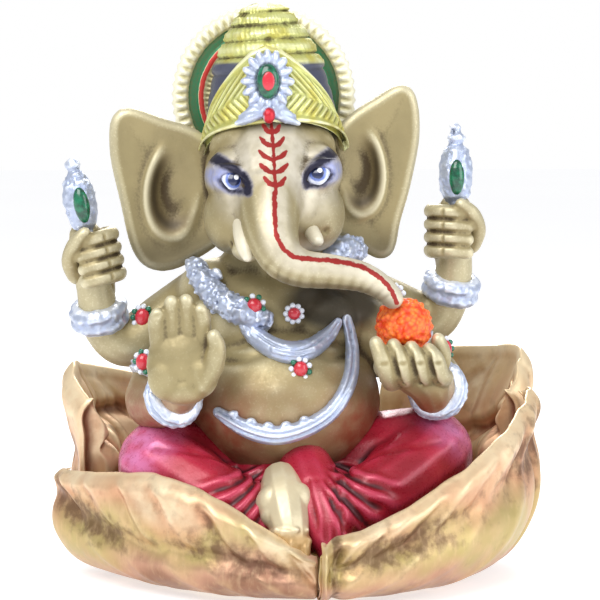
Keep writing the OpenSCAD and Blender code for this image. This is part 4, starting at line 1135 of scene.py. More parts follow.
def raised_palm():
    """An open hand. Each finger is (place across the palm, height above the knuckles)."""
    fingers = [(-4.7, 5.2), (-1.7, 7.7), (1.3, 7.9), (4.2, 5.8)]
    knuckle_z = 11
    lumps = [ball((0, 0.0, 5.4), (7.6, 3.8, 8.0)), ball((-3.0, -1.2, 3.0), (4.4, 2.7, 5.0)),
             ball((3.3, -1.4, 3.2), (4.2, 2.8, 4.8)), ball((0.2, -1.2, 0.4), (5.0, 2.8, 3.4)),
             roll([(-1.5, 5, -2.5, 4.2), (-0.8, 2.5, 1, 4.4), (0, 0.8, 4, 4.6)])]
    for x, tall in fingers:
        lumps.append(roll([(x * 0.95, 0.0, 8, 2.1),
                           (x * 1.02, -0.5, knuckle_z + tall * 0.35, 2.05),
                           (x * 1.04, -1.2, knuckle_z + tall * 0.75, 1.95),
                           (x, -1.9, knuckle_z + tall, 1.6)]))
    lumps.append(roll([(3.6, -1.4, 1.5, 2.8), (6.2, -2.2, 5.2, 2.5), (7.2, -2.8, 9.0, 2.1),
                       (6.8, -3.1, 11.4, 1.6)]))
    clay = fuse(lumps, hand_voxel).smooth(6)
    for x in (-3.2, -0.2, 2.8):
        clay.groove([(x, -3.2, 12.6), (x * 1.04, -3.6, 15), (x * 1.06, -3.9, 17.6)], 0.42, 0.5)
    clay.groove([(4.6, -3.6, 9.6), (2.4, -4.4, 7.6), (1.6, -4.6, 4.4), (2.2, -4.4, 1.4)], 0.8, 0.35)
    for z in (13.8, 16.2):
        clay.groove([(-6.5, -3.4, z), (0, -3.6, z + 0.6), (6, -3.6, z)], 0.4, 0.2)
    return clay.smooth(1)


def fist(mirror):
    """A hand closed round a handle: four fingers stacked up, with the thumb beside them."""
    lumps = [roll([(0.6, 2.5, -8, 3.7), (0.4, 2.6, -3, 4.5), (0.2, 2.4, 2, 4.5), (0, 2, 4.6, 3.8)],
                  squash=((0, 1, 0), 0.9)), ball((0, 0, 0), (4.0, 3.6, 5.4))]
    pitch = 2.85
    finger_heights = [k * pitch for k in (-1.5, -0.5, 0.5, 1.5)]
    for z in finger_heights:
        lumps.append(roll([(4.2, 2.5, z, 1.8), (5.2, 0, z + 0.1, 1.85), (4.2, -3, z + 0.2, 1.8),
                           (0.8, -4.6, z + 0.1, 1.7), (-2.6, -3.9, z - 0.2, 1.5)]))
    lumps.append(roll([(-3.6, 2, -3, 2.2), (-4.8, -1, 0.4, 2.0), (-3.6, -4, 4, 1.8),
                       (-1.2, -5, 6.2, 1.4)]))
    clay = fuse(lumps, hand_voxel).smooth(4)
    for z in (-pitch, 0, pitch):
        clay.groove([(6.8, 1, z), (4.6, -4.6, z + 0.2), (0, -6.2, z)], 0.4, 0.5)
    for z in finger_heights:
        clay.groove([(2.9, -5.8, z - 1.2), (2.9, -5.8, z + 1.2)], 0.3, 0.25)
    clay.smooth(1)
    if mirror:
        clay.co[:, 0] *= -1
        clay.mesh.flip_normals()
    return clay


def cupped_palm():
    sweet = mid("laddu")
    r = half("laddu").x
    lumps = [roll([(26, -20.5, 41.5, 4.2), (24.6, -22, 44.5, 5.0), (21.8, -23.2, 47.2, 5.4)]),
             ball((20.6, -23, 47.8), (7.6, 5.2, 4.4))]
    for k in range(4):
        x = sweet.x - 5.8 + 3.7 * k
        lumps.append(roll([(x + 3.0, -24.4, 44.6 + 0.3 * k, 2.1), (x + 1.6, -28.0, 46.6, 2.0),
                           (x + 0.4, sweet.y - r - 1.5, 49.8, 1.9),
                           (x - 0.9, sweet.y - r - 0.6, 53.4 - 0.5 * k, 1.55)]))
    lumps.append(roll([(26.2, -21.0, 45, 2.4), (27.8, -22.2, 49.6, 2.1), (26.8, -23.6, 53.4, 1.6)]))
    clay = fuse(lumps, hand_voxel).smooth(4)
    for k in range(3):
        x = sweet.x - 4.0 + 3.7 * k
        clay.groove([(x + 3.2, -28, 44.6), (x + 1.4, -30.6, 48), (x + 0.4, -31, 52)], 0.42, 0.7)
    for k in range(4):
        x = sweet.x - 5.2 + 3.7 * k
        clay.groove([(x - 1.6, -31.4, 49.2), (x + 2.0, -31.4, 49.6)], 0.35, 0.3)
    return clay.smooth(1)


finish_hand("right_front_hand", placed(raised_palm(), (-27, -26, 43.5), (0, -2, -4)), True)
# The goad and the lotus bud stand in the same grips as the fists that hold them
right_grip = ((-46, -1.5, 69.5), (0, -11, 10))
left_grip = ((34, 0, 75), (0, 0, -8))
finish_hand("right_rear_hand", placed(fist(False), *right_grip))
finish_hand("left_rear_hand", placed(fist(True), *left_grip))
finish_hand("left_front_hand", cupped_palm(), True)

# %% [markdown]
# ## The sweet
# A ball of syrup crumbs. A texture alone would leave a smooth outline, so the crumbs are
# pushed out of the clay one by one, each with a faint moat about it.

# %% The sweet in the hand
sweet = fuse([ball(mid("laddu"), half("laddu").x, fine=4)], 0.3)
rng = np.random.default_rng(3)
for crumb in rng.normal(size=(150, 3)):
    spot = np.array(mid("laddu")) + crumb / np.linalg.norm(crumb) * half("laddu").x
    gap = np.linalg.norm(sweet.co - spot, axis=1)
    sweet.push(0.3 * mound(gap, 0, 0.6) - 0.12 * mound(gap, 1.1, 0.35))
keep("laddu", sweet.mark_wash_shade_and_highlight(rounds=6), laddu_paint)

# %% [markdown]
# ## Crimson dhoti
# The crossed legs are wrapped in satin cloth: full over the knees and gathered into fine
# radiating folds at the ankles. The two legs and the hanging pleats are pressed as one
# lump of clay, the gathers are ridges that fan out from a point above the ankle, and the
# lump is then cut where one wrapped leg lies over the other.

# %% Cloth lumps
def cloth_clay(voxel):
    lumps = [roll([(-12, -2, 20, 10.5), (-23, -7, 24, 10.8), (-31, -12, 26.2, 9.8)]),
             roll([(-31.5, -14, 25.5, 9.4), (-22, -22, 20.5, 8.4), (-12, -27, 16.5, 6.8),
                   (-8, -28, 14, 5)]),
             roll([(3, -2, 21, 10.5), (15, -7, 25, 10.8), (26, -11, 28, 9.8)]),
             roll([(27, -12.5, 27.5, 9.4), (17, -21, 21.5, 8.4), (5, -27, 16.5, 6.8),
                   (0, -29, 14, 5.2)]),
             ball((-4, -12, 19), (16, 13, 10)),
             roll([(-1, -20, 26, 6), (1, -28, 20, 6.5), (3, -33, 14, 5.3), (3.5, -35, 10.5, 3.4)])]
    return fuse(lumps, voxel).smooth(12)


cloth = cloth_clay(0.45)
for pivot, side in (((-5.5, 28.5), -1), ((-1.0, 28.5), 1)):
    dx = (cloth.co[:, 0] - pivot[0]) * side
    dz = cloth.co[:, 2] - pivot[1]
    reach, lean = np.hypot(dx, dz), np.arctan2(dz, dx)
    wobble = 0.25 * np.sin(reach * 0.5 + lean * 9)
    ridges = np.cos(lean * 27 + wobble) * rise(reach, 3.5, 8) * fall(reach, 15, 23)
    fan = rise(lean, -1.35, -1.0) * fall(lean, -0.35, -0.1) * (dx > 0)
    fan = fan * fall(cloth.co[:, 1], -14, -8)
    cloth.push(0.55 * ridges * fan)
for sign, x in ((-1, -31), (1, 26)):
    for k, bend in enumerate((0.0, 3.2, 6.6)):
        cloth.groove([(x + sign * 2, -21 + bend, 31 - k), (x - sign * 6, -23 + bend, 30 - k),
                      (x - sign * 16, -22 + bend * 0.6, 28 - k)], 0.9, 0.35 + 0.1 * k)
for k in range(4):
    x = -0.5 + 1.9 * k
    cloth.groove([(x - 1, -31, 25), (x, -35.5, 19), (x + 0.4, -39, 12)], 0.5, 0.6)
cloth.smooth(2)
cloth.mark_wash_shade_and_highlight(fine=5.0, broad=0.7, rounds=26)
knee_far = np.minimum(*(egg_far(cloth.co, k, (9, 9, 9))
                        for k in ((-36, -17, 30), (33, -14, 33))))
# Painted highlight on the knees.
cloth.mark("painted_highlight", 0.9 * fall(knee_far, 0.3, 1.35))
own = np.zeros(len(cloth.co), int)
own[cloth.co[:, 0] > -4.5] = 1
pleat_line = smooth_line([(1, -28, 21), (3, -33, 14), (3.5, -36, 10)])
own[(near(cloth.co, pleat_line)[0] < 6.4) & (cloth.co[:, 1] < -27) & (cloth.co[:, 0] > -4.5)] = 2
cloth.finish()
for label, name in enumerate(("dhoti_right_leg", "dhoti_left_leg", "dhoti_pleats")):
    keep(name, part(cloth, own, label), crimson)

# %% [markdown]
# ## The foot
# One foot shows where the pleats part, with a thin anklet and five toes. It is a few rolls
# and balls pressed together, because an instep is not round in any section.

# %% The foot
def foot_clay():
    lumps = [roll([(-6.6, -25, 24.0, 4.2), (-6.4, -29.6, 21.6, 5.0), (-5.8, -34.0, 17.2, 4.5),
                   (-5.0, -36.6, 13.2, 3.4)]),
             ball((-8.6, -31.4, 20.6), (3.8, 3.2, 4.2), (0, 25, 0)),
             ball((-3.8, -31.6, 20.8), (3.5, 3.2, 4.2)),
             ball((-6.4, -33.4, 17.8), (5.3, 3.0, 3.4), (0, 12, 0)),
             roll([(-10.6, -33.4, 13.6, 0.7), (-8.6, -37.4, 15.6, 0.9), (-5.0, -38.6, 15.4, 0.9),
                   (-2.0, -35.8, 13.4, 0.7)])]
    for k in range(5):
        x = -8.8 + 1.55 * k
        drop = (0.0, -0.5, -0.2, 0.4, 1.2)[k]
        lumps.append(roll([(x + 0.3, -37, 13.6, 1.15), (x, -38.6, 11.6 + drop, 1.1),
                           (x, -39.1, 10.0 + drop, 1.0)]))
    clay = fuse(lumps, 0.26).smooth(3)
    for k in range(4):
        clay.groove([(-8.0 + 1.55 * k, -39, 13), (-8.0 + 1.55 * k, -40, 9.5)], 0.3, 0.4)
    clay.grains(40, 0.6, 0.4, 21, (clay.co[:, 2] > 12.4) & (clay.co[:, 2] < 16.4))
    # Browner towards the toes, below the instep.
    clay.mark("blush", fall(clay.co[:, 2], 14.0, 17.5))
    return clay.mark_wash_shade_and_highlight(rounds=14)


keep("foot", foot_clay(), foot_gold)

# %% [markdown]
# ## Crown
# The crown is a stack of turned tiers, so a profile is spun round an axis and squeezed a
# little from front to back. The tiara is a band whose top rises to a point; its diagonal
# hatching is real relief, cut as grooves, because it catches the light in every view.

# %% Turned shapes
head_lean, head_turn = 4, -5


def on_head(bm, place=(0, 0, 0)):
    """Turns a shape drawn about the crown's axis the way the head leans."""
    lean = Euler((0, -math.radians(head_lean), 0)).to_matrix()
    turn = Euler((0, 0, math.radians(head_turn))).to_matrix()
    space = Matrix.Translation(Vector(place)) @ (lean @ turn).to_4x4()
    bmesh.ops.transform(bm, matrix=space, verts=bm.verts)
    return bm


def turned(profile, steps=96, squeeze=1.0):
    """Spins (radius, height) points round Z and closes the shape."""
    bm = bmesh.new()
    verts = [bm.verts.new((r, 0, z)) for r, z in profile]
    edges = [bm.edges.new(pair) for pair in zip(verts, verts[1:])]
    bmesh.ops.spin(bm, geom=verts + edges, cent=(0, 0, 0), axis=(0, 0, 1), angle=2 * math.pi,
                   steps=steps, use_merge=True)
    bmesh.ops.remove_doubles(bm, verts=bm.verts, dist=1e-4)
    bmesh.ops.recalc_face_normals(bm, faces=bm.faces)
    bmesh.ops.scale(bm, vec=(1, squeeze, 1), verts=bm.verts)
    return bm


def clay_of(bm):
    mesh = bpy.data.meshes.new("clay")
    bm.to_mesh(mesh)
    bm.free()
    return Clay(mesh)


crown_seat = Vector((-6.4, 0.0, 96.4))

# %% Dome
# Each tier's foot is (height, radius). The back is flat where the halo lies against it
tiers = [(0.0, 13.6), (3.4, 13.9), (6.8, 13.6), (10.2, 12.8), (13.6, 11.9), (17.0, 10.4),
         (20.4, 8.9), (23.6, 7.0), (26.4, 5.2), (28.1, 3.2)]
rope_from = 13
dome_back_y = 7.3
dome_profile = [(0, 0), (12.5, 0)]
for k in range(len(tiers) - 1):
    (z0, r0), (z1, r1) = tiers[k], tiers[k + 1]
    for t in np.linspace(0, 1, 9)[:-1]:
        belly = (1.0 if z0 > rope_from else 0.25) * math.sin(math.pi * t) ** 0.6
        dome_profile.append((r0 + (r1 - r0) * t + belly, z0 + (z1 - z0) * t))
dome_profile += [(2.2, 28.5), (0, 28.6)]
dome = turned(dome_profile, steps=200, squeeze=0.86)
for v in dome.verts:
    v.co.y = min(v.co.y, dome_back_y)
clay = clay_of(on_head(dome, crown_seat))
angle = np.arctan2(clay.co[:, 1], clay.co[:, 0] - crown_seat.x)
level = clay.co[:, 2] - crown_seat.z
strands = 0.07 * np.sin(angle * 50 + level * 2) + 0.1 * np.sin(level * 5.6)
clay.push(strands * rise(level, 14.5, 16.5))
clay.grains(160, 0.8, -0.22, 31, level > 16)
clay.mark("cap", fall(level, 15.0, 15.8))
keep("crown_dome", clay.mark_wash_shade_and_highlight(fine=3.0, broad=0.9, rounds=14), crown_gold)

# %% [markdown]
# ## Tiara and halo
# The tiara could be cut from a turned band, but its outline rises to a point and its relief
# follows that outline. So a flat grid is bent round the brow, where its two directions are
# already across and up. The halo is a turned disc with a fluted rim that is bent in code.

# %% Tiara
def tiara_clay():
    """A curved band, grown from a grid: across follows the arc and up follows the height."""
    bm = bmesh.new()
    bmesh.ops.create_grid(bm, x_segments=220, y_segments=60, size=0.5)
    co = np.array([v.co for v in bm.verts])
    s, t = co[:, 0] * 2, co[:, 1] + 0.5
    a = s * math.radians(92)
    top = np.interp(np.abs(s), (0, 0.15, 0.3, 0.5, 0.65, 0.8, 1),
                    (19.2, 18, 15.4, 11.6, 8.6, 5.6, 2.4))
    bottom = 2.6 * (1 - (s * 1.15) ** 2) - 3.4 * np.abs(s) ** 3
    r = half("tiara").x - 0.35
    tall = (top - bottom) / 15
    spine = 0.46
    hatch = np.sin(np.abs(s) * 84 + np.where(t > spine, 1, -1) * t * tall * 50)
    hatch *= rise(t, 0.1, 0.2) * fall(t, 0.8, 0.86) * (1 - 0.8 * mound(t, spine, 0.02))
    rim = mound(t, 0.95, 0.05) + mound(t, 0.04, 0.05)
    out = r - 2.4 * t ** 2 - 0.45 + 0.2 * hatch + 0.55 * rim
    place = np.stack([out * np.sin(a), -out * np.cos(a) * 0.98, bottom + (top - bottom) * t], 1)
    for v, where in zip(bm.verts, place):
        v.co = where
    bmesh.ops.recalc_face_normals(bm, faces=bm.faces)
    if sum(f.normal.dot(f.calc_center_median()) for f in bm.faces) < 0:
        bmesh.ops.reverse_faces(bm, faces=bm.faces)
    mesh = bpy.data.meshes.new("tiara")
    on_head(bm, crown_seat).to_mesh(mesh)
    bm.free()
    return Clay(worked(mesh, ("SOLIDIFY", {"thickness": 1.6, "offset": -1.0})))


keep("tiara", tiara_clay().mark_wash_shade_and_highlight(fine=7.0, broad=0.8, rounds=10), crown_gold)

# %% Halo
halo_at = mid("halo") + Vector((-2.0, 0, 0))
halo_r = half("halo").z - 0.3


def halo_profile():
    """From the axis outwards along the face, then round the rim and back."""
    drawn_r = 20.1
    face = [(0, 0.6), (12.6, 0.6), (13.4, 0.1), (14.3, 0.1), (14.6, 0.55), (16.6, 0.55),
            (16.9, 0.1), (17.3, 0.0), (18.4, -0.2), (19.5, 0.1), (drawn_r, 0.9), (drawn_r, 1.8),
            (19.4, 2.6)]
    scale = halo_r / drawn_r
    return [(r * scale, z) for r, z in face] + [(0, 2.8)]


def halo_clay():
    fine = []
    run = halo_profile()
    for (r0, z0), (r1, z1) in zip(run, run[1:]):
        count = max(1, int(math.hypot(r1 - r0, z1 - z0) / 0.4))
        fine += [(r0 + (r1 - r0) * k / count, z0 + (z1 - z0) * k / count) for k in range(count)]
    bm = turned(fine + [run[-1]], steps=384)
    reach = [math.hypot(v.co.x, v.co.y) + 100 * (v.co.z > 1.6) for v in bm.verts]
    for v in bm.verts:
        r, a = math.hypot(v.co.x, v.co.y), math.atan2(v.co.y, v.co.x)
        if v.co.z < 1.4:
            v.co.z += 0.35 * math.cos(a * 60) * float(rise(r, 16.9, 17.6))
            v.co.z += 0.22 * math.cos(a * 72) * float(rise(r, 4, 7) * fall(r, 12.6, 13.2))
        if r > 17.5:
            k = 1 + 0.012 * math.cos(a * 60)
            v.co.x, v.co.y = v.co.x * k, v.co.y * k
    turn = Matrix.Rotation(-math.pi / 2, 4, "X")
    bmesh.ops.transform(bm, matrix=turn, verts=bm.verts)
    bmesh.ops.recalc_face_normals(bm, faces=bm.faces)
    clay = clay_of(on_head(bm, (halo_at.x, halo_at.y - 1.6, halo_at.z)))
    clay.marks["reach"] = np.array(reach)
    return clay


def halo_finish():
    """Cream flutes with a green enamel ring and a thin red one, told apart by reach,
    which is the distance from the disc's middle on its face and over 100 on its back."""
    def rings(p, tone):
        r = p.math("ADD", p.mark("reach"), p.span(p.noise(0.9, 2.0), 0.0, 1.0, -0.12, 0.12))
        ring = p.math("MULTIPLY", p.span(r, 14.35, 14.55), p.span(r, 16.75, 16.55))
        thin = p.math("MULTIPLY", p.span(r, 13.15, 13.35), p.span(r, 14.4, 14.25))
        tone = p.mix(ring, tone, colour(20, 112, 72))
        return p.mix(thin, tone, colour(188, 52, 44))
    return antique("halo_paint", colour(98, 82, 44), colour(204, 196, 150), colour(240, 236, 210),
                   metallic=0.25, rough=0.42, grain=1.2, flake=0.05, more=rings)


keep("halo", halo_clay().mark_wash_shade_and_highlight(fine=5.0, broad=0.8, rounds=10), halo_finish())

# %% [markdown]
# ## Jewellery
# The silver trims are soft clay strips pressed on the body and textured with a needle. Each
# one is laid on the body by a ray from the front, so that it sits on the skin and sinks in a
# little, as glue and paint make it do.

# %% Laying trims on the skin
def skin_tree():
    verts, polygons = [], []
    for name in ("torso", "right_front_arm", "left_front_arm", "right_rear_arm", "left_rear_arm"):
        mesh = pieces[name].data
        start = len(verts)
        co = np.empty(len(mesh.vertices) * 3)
        mesh.vertices.foreach_get("co", co)
        verts += [tuple(p) for p in (co.reshape(-1, 3) / MM)]
        polygons += [[start + i for i in f.vertices] for f in mesh.polygons if len(f.vertices) < 6]
    return BVHTree.FromPolygons(verts, polygons)


skin = skin_tree()


def on_skin(x, z, out=0.0, missed=-15.0):
    """The place on the skin that a ray from the front finds, or the missed depth."""
    hit = skin.ray_cast(Vector((x, -60, z)), Vector((0, 1, 0)))[0]
    return (x, (hit.y if hit is not None else missed) - out, z)


def laid(points):
    """Stations (x, z, radius) laid on the skin, sunk in by a quarter of their thickness."""
    run = []
    for x, z, r in smooth_line(points, 5):
        y = on_skin(x, z, missed=run[-1][1] if run else -10.0)[1]
        run.append((x, y - r * 0.5, z, r))
    for _ in range(3):
        for i in range(1, len(run) - 1):
            y = min(run[i][1], (run[i - 1][1] + run[i + 1][1]) / 2)
            run[i] = (run[i][0], y, run[i][2], run[i][3])
    return run


def beads(line, pitch, radius, seed, jitter=0.3):
    """Grains set side by side along a line, a little uneven."""
    rng = np.random.default_rng(seed)
    run = np.array(line)
    length = np.concatenate([[0], np.cumsum(np.linalg.norm(np.diff(run[:, :3], axis=0), axis=1))])
    lumps = []
    for d in np.arange(0, length[-1], pitch):
        p = np.array([np.interp(d, length, run[:, k]) for k in range(3)])
        for _ in range(2):
            spot = p + rng.normal(0, radius * jitter * 1.6, 3) * np.array([1, 0.4, 1])
            lumps.append(ball(spot, radius * rng.uniform(0.8, 1.15), fine=2))
    return lumps


# %% Collar
trim_voxel = 0.25
collar_run = laid([(-23.5, 67.5, 2.4), (-20.5, 63, 2.8), (-16, 59.6, 2.9), (-12, 58, 2.7),
                   (-9.5, 57.4, 2.2)])
collar_left = [(4.4, -12.6, 68.4, 2.2), (6, -11.4, 70.2, 2.8), (8, -8.6, 71.6, 3.1),
               (11.6, -3.6, 71.4, 2.6)]
clay = fuse([roll(collar_run, 1), roll(collar_left, 4)] + beads(collar_run, 1.0, 1.4, 5, 0.5)
            + beads(smooth_line(collar_left, 4), 1.0, 1.5, 6, 0.5), trim_voxel).smooth(2)
clay.grains(520, 0.45, 0.42, 7)
clay.grains(200, 0.5, -0.4, 8)
keep("collar", clay.mark_wash_shade_and_highlight(fine=4.0, broad=0.9, rounds=8), silver)

# %% Garland and thread
def strip(name, run, lines, tool, specks, beads_on=()):
    """A smooth strip with lines drawn along it at heights from its middle, by a tool with a
    width and a depth, and then specks (count, size, height, seed)."""
    clay = fuse([roll(run, 1), *beads_on], trim_voxel).smooth(3)
    for offset in lines:
        clay.groove([(x, y - r, z + offset) for x, y, z, r in run], *tool, 1)
    clay.grains(*specks)
    keep(name, clay.mark_wash_shade_and_highlight(rounds=10), silver)


garland_run = laid([(-14, 58, 1.4), (-12, 54.5, 2.0), (-8, 51.6, 2.4), (-3.5, 50.6, 2.5),
                    (1, 51.6, 2.2), (4.5, 54, 1.7), (6.5, 56.5, 1.0)])
strip("garland", garland_run, (-0.9, 0.0, 0.9), (0.28, 0.35), (150, 0.4, 0.14, 9))
thread_run = laid([(8.5, 57, 1.1), (9.6, 51, 1.5), (8.4, 44.5, 1.7), (4.4, 38.6, 1.8),
                   (-1.6, 35, 2.0), (-8, 33.6, 2.1), (-14, 35, 1.9), (-19.5, 38, 1.2)])
knots = [ball((x, y - 0.4, z + r * 0.9), (1.3, 0.9, 1.1), fine=2)
         for x, y, z, r in thread_run[20:34:3]]
strip("sacred_thread", thread_run, (-0.7, 0.6), (0.35, 0.45), (150, 0.4, 0.12, 10), knots)

# %% [markdown]
# ## Bracelets and armlets
# Each band is turned about the arm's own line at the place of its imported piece, so it
# stands square to the arm however the arm leans.

# %% Bracelets and armlets
def band_round(node, line, width=4.2, thick=1.5, ridges=3):
    """A ridged band round the arm where its CAD piece is."""
    run = smooth_line(line, 10)
    i = int(np.argmin(np.linalg.norm(run[:, :3] - np.array(mid(node)), axis=1)))
    i = min(max(i, 1), len(run) - 2)
    way = Vector(run[i + 1, :3] - run[i - 1, :3]).normalized()
    r = run[i, 3]
    profile = []
    for t in np.linspace(0, 1, 33):
        ridge = 0.25 * math.cos(2 * math.pi * ridges * t)
        profile.append((r + thick * math.sin(math.pi * t) ** 0.4 - ridge, (t - 0.5) * width))
    inner = r - 0.6
    profile = [(inner, -width / 2)] + profile + [(inner, width / 2), (inner, -width / 2)]
    bm = turned(profile, 120)
    turn = Vector((0, 0, 1)).rotation_difference(way).to_matrix().to_4x4()
    bmesh.ops.transform(bm, matrix=Matrix.Translation(run[i, :3]) @ turn, verts=bm.verts)
    return clay_of(bm)


# The rear wrists wear wide rough cuffs, and the front wrists narrow bangles
bands = {"rear": (dict(width=6.0, ridges=2), (420, 0.55, 0.24)),
         "front": (dict(width=4.2, ridges=3), (260, 0.4, 0.16))}
for place, (shape, specks) in bands.items():
    for side in ("right", "left"):
        node = side + "_" + place + "_bracelet"
        clay = band_round(node, arm_lines[side + "_" + place + "_arm"], **shape)
        clay.grains(*specks, 51)
        keep(node, clay.mark_wash_shade_and_highlight(fine=4.0, broad=0.9, rounds=8), silver)
for side in ("right", "left"):
    clay = band_round(side + "_armlet", arm_lines[side + "_front_arm"], 5.0, 1.4, 4)
    keep(side + "_armlet", clay.mark_wash_shade_and_highlight(fine=4.0, broad=0.9, rounds=8), silver)


# %% [markdown]
# ## Stones
# A red drop in a ring of tiny pearls, some of them painted green. Every drop is its own
# closed ball; the marks tell one enamel coat which colour each ball gets.

# %% Stones
def jewel(place, radii, ring, leaves=(), facing=(0, -1, 0)):
    """A stone in a ring of pearls. Returns (lump, kind) pairs; leaves are the green ones."""
    face = Vector(facing).normalized()
    side = face.cross(Vector((0, 0, 1))).normalized()
    rise_way = side.cross(face)
    made = [(ball(place, radii, fine=4), "gem")]
    for k in range(ring):
        a = 2 * math.pi * k / ring
        spot = Vector(place) + side * (radii[0] + 0.45) * math.cos(a) \
            + rise_way * (radii[2] + 0.45) * math.sin(a) - face * 0.3
        made.append((ball(spot, 0.62, fine=3), "leaf" if k in leaves else "pearls"))
    return made


def set_stones(name, jewels):
    """One piece of several stones and their settings, with each kind marked for its paint."""
    pairs = [pair for made in jewels for pair in made]
    counts = [len(lump.verts) for lump, kind in pairs]
    clay = Clay(gather([lump for lump, kind in pairs]))
    for kind in ("gem", "leaf", "pearls"):
        clay.mark(kind, np.repeat([1.0 * (k == kind) for lump, k in pairs], counts))
    return keep(name, clay, ruby)


set_stones("necklace_stones",
           [jewel(on_skin(-11.6, 60.3, 4.0), (1.6, 1.2, 1.6), 9, (0, 1, 3, 5, 6, 8)),
            jewel(on_skin(-3, 58.4, 2.2), (1.3, 1.0, 1.3), 9)])
set_stones("pendant", [jewel(on_skin(-2.2, 47.4, 0.7), (1.5, 1.1, 1.6), 9, (1, 5))])
set_stones("armlet_stones",
           [jewel((-35.2, -13.4, 48.2), (1.5, 1.2, 1.8), 10, (0, 2, 5, 7), (-0.5, -1, 0.1)),
            jewel((30.2, -12.2, 50.2), (1.3, 1.2, 1.9), 10, (0, 1, 4, 5, 6), (0.5, -1, 0.1)),
            jewel(on_skin(-35.0, 56.4, 0.4), (1.6, 1.1, 1.9), 11, (0, 1, 4, 5, 8, 9)),
            jewel(on_skin(20.6, 60.6, 0.4), (1.6, 1.1, 2.0), 11, (0, 1, 2, 6, 7, 8))])

# %% [markdown]
# ## Brooch
# A fan of petals about a green stone, with three drooping plumes on either side. They are
# fused into one skin because the real brooch is a single pressed casting.

# %% Brooch
drop = mid("brooch_drop") + Vector((-0.2, 0.4, 2.4))
petals = []
petal_count, wide, tall = 16, 3.9, 4.9
for k in range(petal_count):
    a = 2 * math.pi * k / petal_count
    x, z = wide * math.sin(a), tall * math.cos(a)
    petals.append(ball((drop.x + x, drop.y + 1.6, drop.z + z), (0.95, 1.3, 1.9),
                       (0, math.degrees(math.atan2(x, z)), 0)))
wings = [ball((drop.x, drop.y + 2.2, drop.z), (4.0, 1.2, 5.2))]
for sign in (-1, 1):
    for k, (reach, droop) in enumerate(((6.4, -8.2), (5.6, -6.9), (4.2, -5.8))):
        wings.append(roll([(drop.x, drop.y + 1.4, drop.z - 6.0 - 0.5 * k, 1.2),
                           (drop.x + sign * reach * 0.55, drop.y + 1.6, drop.z + droop * 0.93, 1.1),
                           (drop.x + sign * reach, drop.y + 2.4, drop.z + droop - 0.6, 0.6)]))
low_stone = (drop.x + 0.2, drop.y + 0.3, drop.z - 7.2)
clay = fuse(petals + wings + [ball(low_stone, (1.3, 1.2, 1.7))], 0.22).smooth(1)
clay.grains(90, 0.4, 0.18, 41)
clay.mark("gem", fall(egg_far(clay.co, low_stone, (1.35, 1.6, 1.75)), 0.9, 1.05))
keep("crown_brooch", clay.mark_wash_shade_and_highlight(fine=5.0, broad=1.0, rounds=12), silver)
clay = clay_of(ball((drop.x, drop.y + 0.4, drop.z), (2.4, 1.5, 3.7), fine=5))
apart = np.hypot((clay.co[:, 0] - drop.x) / 1.25, (clay.co[:, 2] - drop.z) / 1.95)
clay.push(0.35 * fall(apart, 0.9, 1.1))
clay.mark("gem", fall(apart, 0.92, 1.05) * (clay.co[:, 1] < drop.y))
keep("brooch_drop", clay, emerald)

# %% [markdown]
# ## Goad and lotus bud
# Both are little turned clubs stuck through a fist, so they take that fist's grip. The
# roughness is pricked in afterwards, and an enamel oval is set in the front of each.

# %% Held attributes
def attribute_clay(profile, grip):
    """A turned shape of (radius, height) points in its hand's grip, roughened all over."""
    bm = turned(profile, 72)
    bmesh.ops.transform(bm, matrix=pose(*grip), verts=bm.verts)
    clay = fuse([bm], 0.28).smooth(1)
    clay.grains(170, 0.5, 0.3, 11)
    clay.grains(60, 0.6, -0.3, 12)
    return clay.mark_wash_shade_and_highlight(rounds=10)


handle = [(0, -2), (1.4, -2), (1.6, 6.2)]
goad_profile = handle + [(2.7, 7.6), (3.4, 10), (3.5, 13.4), (2.9, 16.6), (1.7, 18.8),
                         (1.2, 19.6), (1.8, 20.6), (1.2, 21.8), (0, 22.2)]
bud_profile = handle + [(2.9, 7.6), (3.6, 10.4), (3.6, 14.8), (2.6, 18), (1.4, 19.2),
                        (2.0, 20.6), (1.0, 22), (1.2, 23), (0, 24.1)]
keep("goad", attribute_clay(goad_profile, right_grip), silver)
keep("lotus_bud", attribute_clay(bud_profile, left_grip), silver)
for node, lean in (("goad_enamel", -11), ("bud_enamel", 0)):
    oval = ball(mid(node) + Vector((0, -1.5, 0)), (1.7, 1.3, 3.9), (0, lean, 0), fine=4)
    keep(node, oval, emerald)

# %% [markdown]
# ## Floor, light and camera
# A pale floor and a near-white surround stand in for a wide white sweep of paper. One large
# soft lamp leads from the upper left, a second fills from the right, and a third rims the
# back. Sharper lamps would show more sparkle, but would break up the painted detail.

# %% Floor
def floor_finish():
    p = Paint("floor_paper")
    tone = p.mix(p.noise(0.004, 2.0), colour(206, 206, 209), colour(212, 212, 212))
    return p.coat(tone, 0.9, 0.0, Emission_Color=(1, 1, 1, 1), Emission_Strength=0.62)


bm = bmesh.new()
bmesh.ops.create_grid(bm, x_segments=4, y_segments=4, size=3.0)
floor_mesh = bpy.data.meshes.new("floor")
bm.to_mesh(floor_mesh)
bm.free()
floor_mesh.materials.append(floor_finish())
floor = bpy.data.objects.new("floor", floor_mesh)
bpy.context.collection.objects.link(floor)

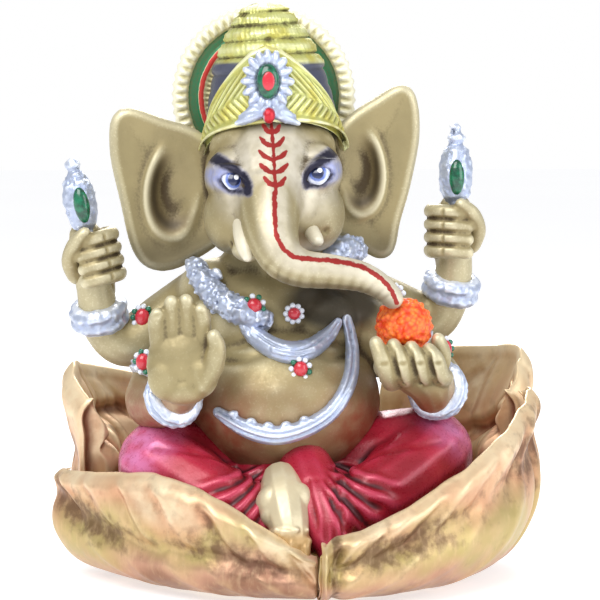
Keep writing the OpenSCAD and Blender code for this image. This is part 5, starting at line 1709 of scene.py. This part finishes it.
# %% Lamps and surround
world = bpy.data.worlds.new("surround")
world.use_nodes = True
sky = world.node_tree
seen, lit = sky.nodes["Background"], sky.nodes.new("ShaderNodeBackground")
seen.inputs["Color"].default_value, seen.inputs["Strength"].default_value = (1, 1, 1, 1), 1.0
lit.inputs["Color"].default_value, lit.inputs["Strength"].default_value = (0.97, 0.98, 1, 1), 0.55
ray, choice = sky.nodes.new("ShaderNodeLightPath"), sky.nodes.new("ShaderNodeMixShader")
sky.links.new(ray.outputs["Is Camera Ray"], choice.inputs[0])
sky.links.new(lit.outputs[0], choice.inputs[1])
sky.links.new(seen.outputs[0], choice.inputs[2])
sky.links.new(choice.outputs[0], sky.nodes["World Output"].inputs[0])
bpy.context.scene.world = world
bpy.context.scene.view_settings.view_transform = "Standard"


def lamp(name, place, aim, size, power, tint=(1, 1, 1)):
    data = bpy.data.lights.new(name, "AREA")
    data.size, data.energy, data.color = size, power, tint
    lit = bpy.data.objects.new(name, data)
    lit.location = Vector(place) * MM
    lit.rotation_euler = (Vector(aim) - Vector(place)).to_track_quat("-Z", "Y").to_euler()
    bpy.context.collection.objects.link(lit)


lamp("key", (-200, -380, 480), (0, 0, 60), 0.42, 3.1)
lamp("fill", (420, -300, 200), (0, 0, 60), 0.35, 1.1, (0.93, 0.96, 1.0))
lamp("back", (60, 420, 380), (0, 0, 80), 0.30, 2.2)

# %% [markdown]
# ## Camera
# A long lens from the front, a few degrees to the figure's right and a little above, keeps
# a small object free of the bulging that a close, wide lens gives.

# %% Camera
camera_data = bpy.data.cameras.new("camera")
camera_data.lens, camera_data.sensor_width = 135, 36
camera = bpy.data.objects.new("camera", camera_data)
turn, lift, away = math.radians(5), math.radians(5), 495
aim_at = Vector((-0.4, 0, 60))
toward = Vector((math.sin(turn) * math.cos(lift), math.cos(turn) * math.cos(lift), -math.sin(lift)))
camera.location = (aim_at - toward * away) * MM
camera.rotation_euler = toward.to_track_quat("-Z", "Y").to_euler()
bpy.context.collection.objects.link(camera)
bpy.context.scene.camera = camera
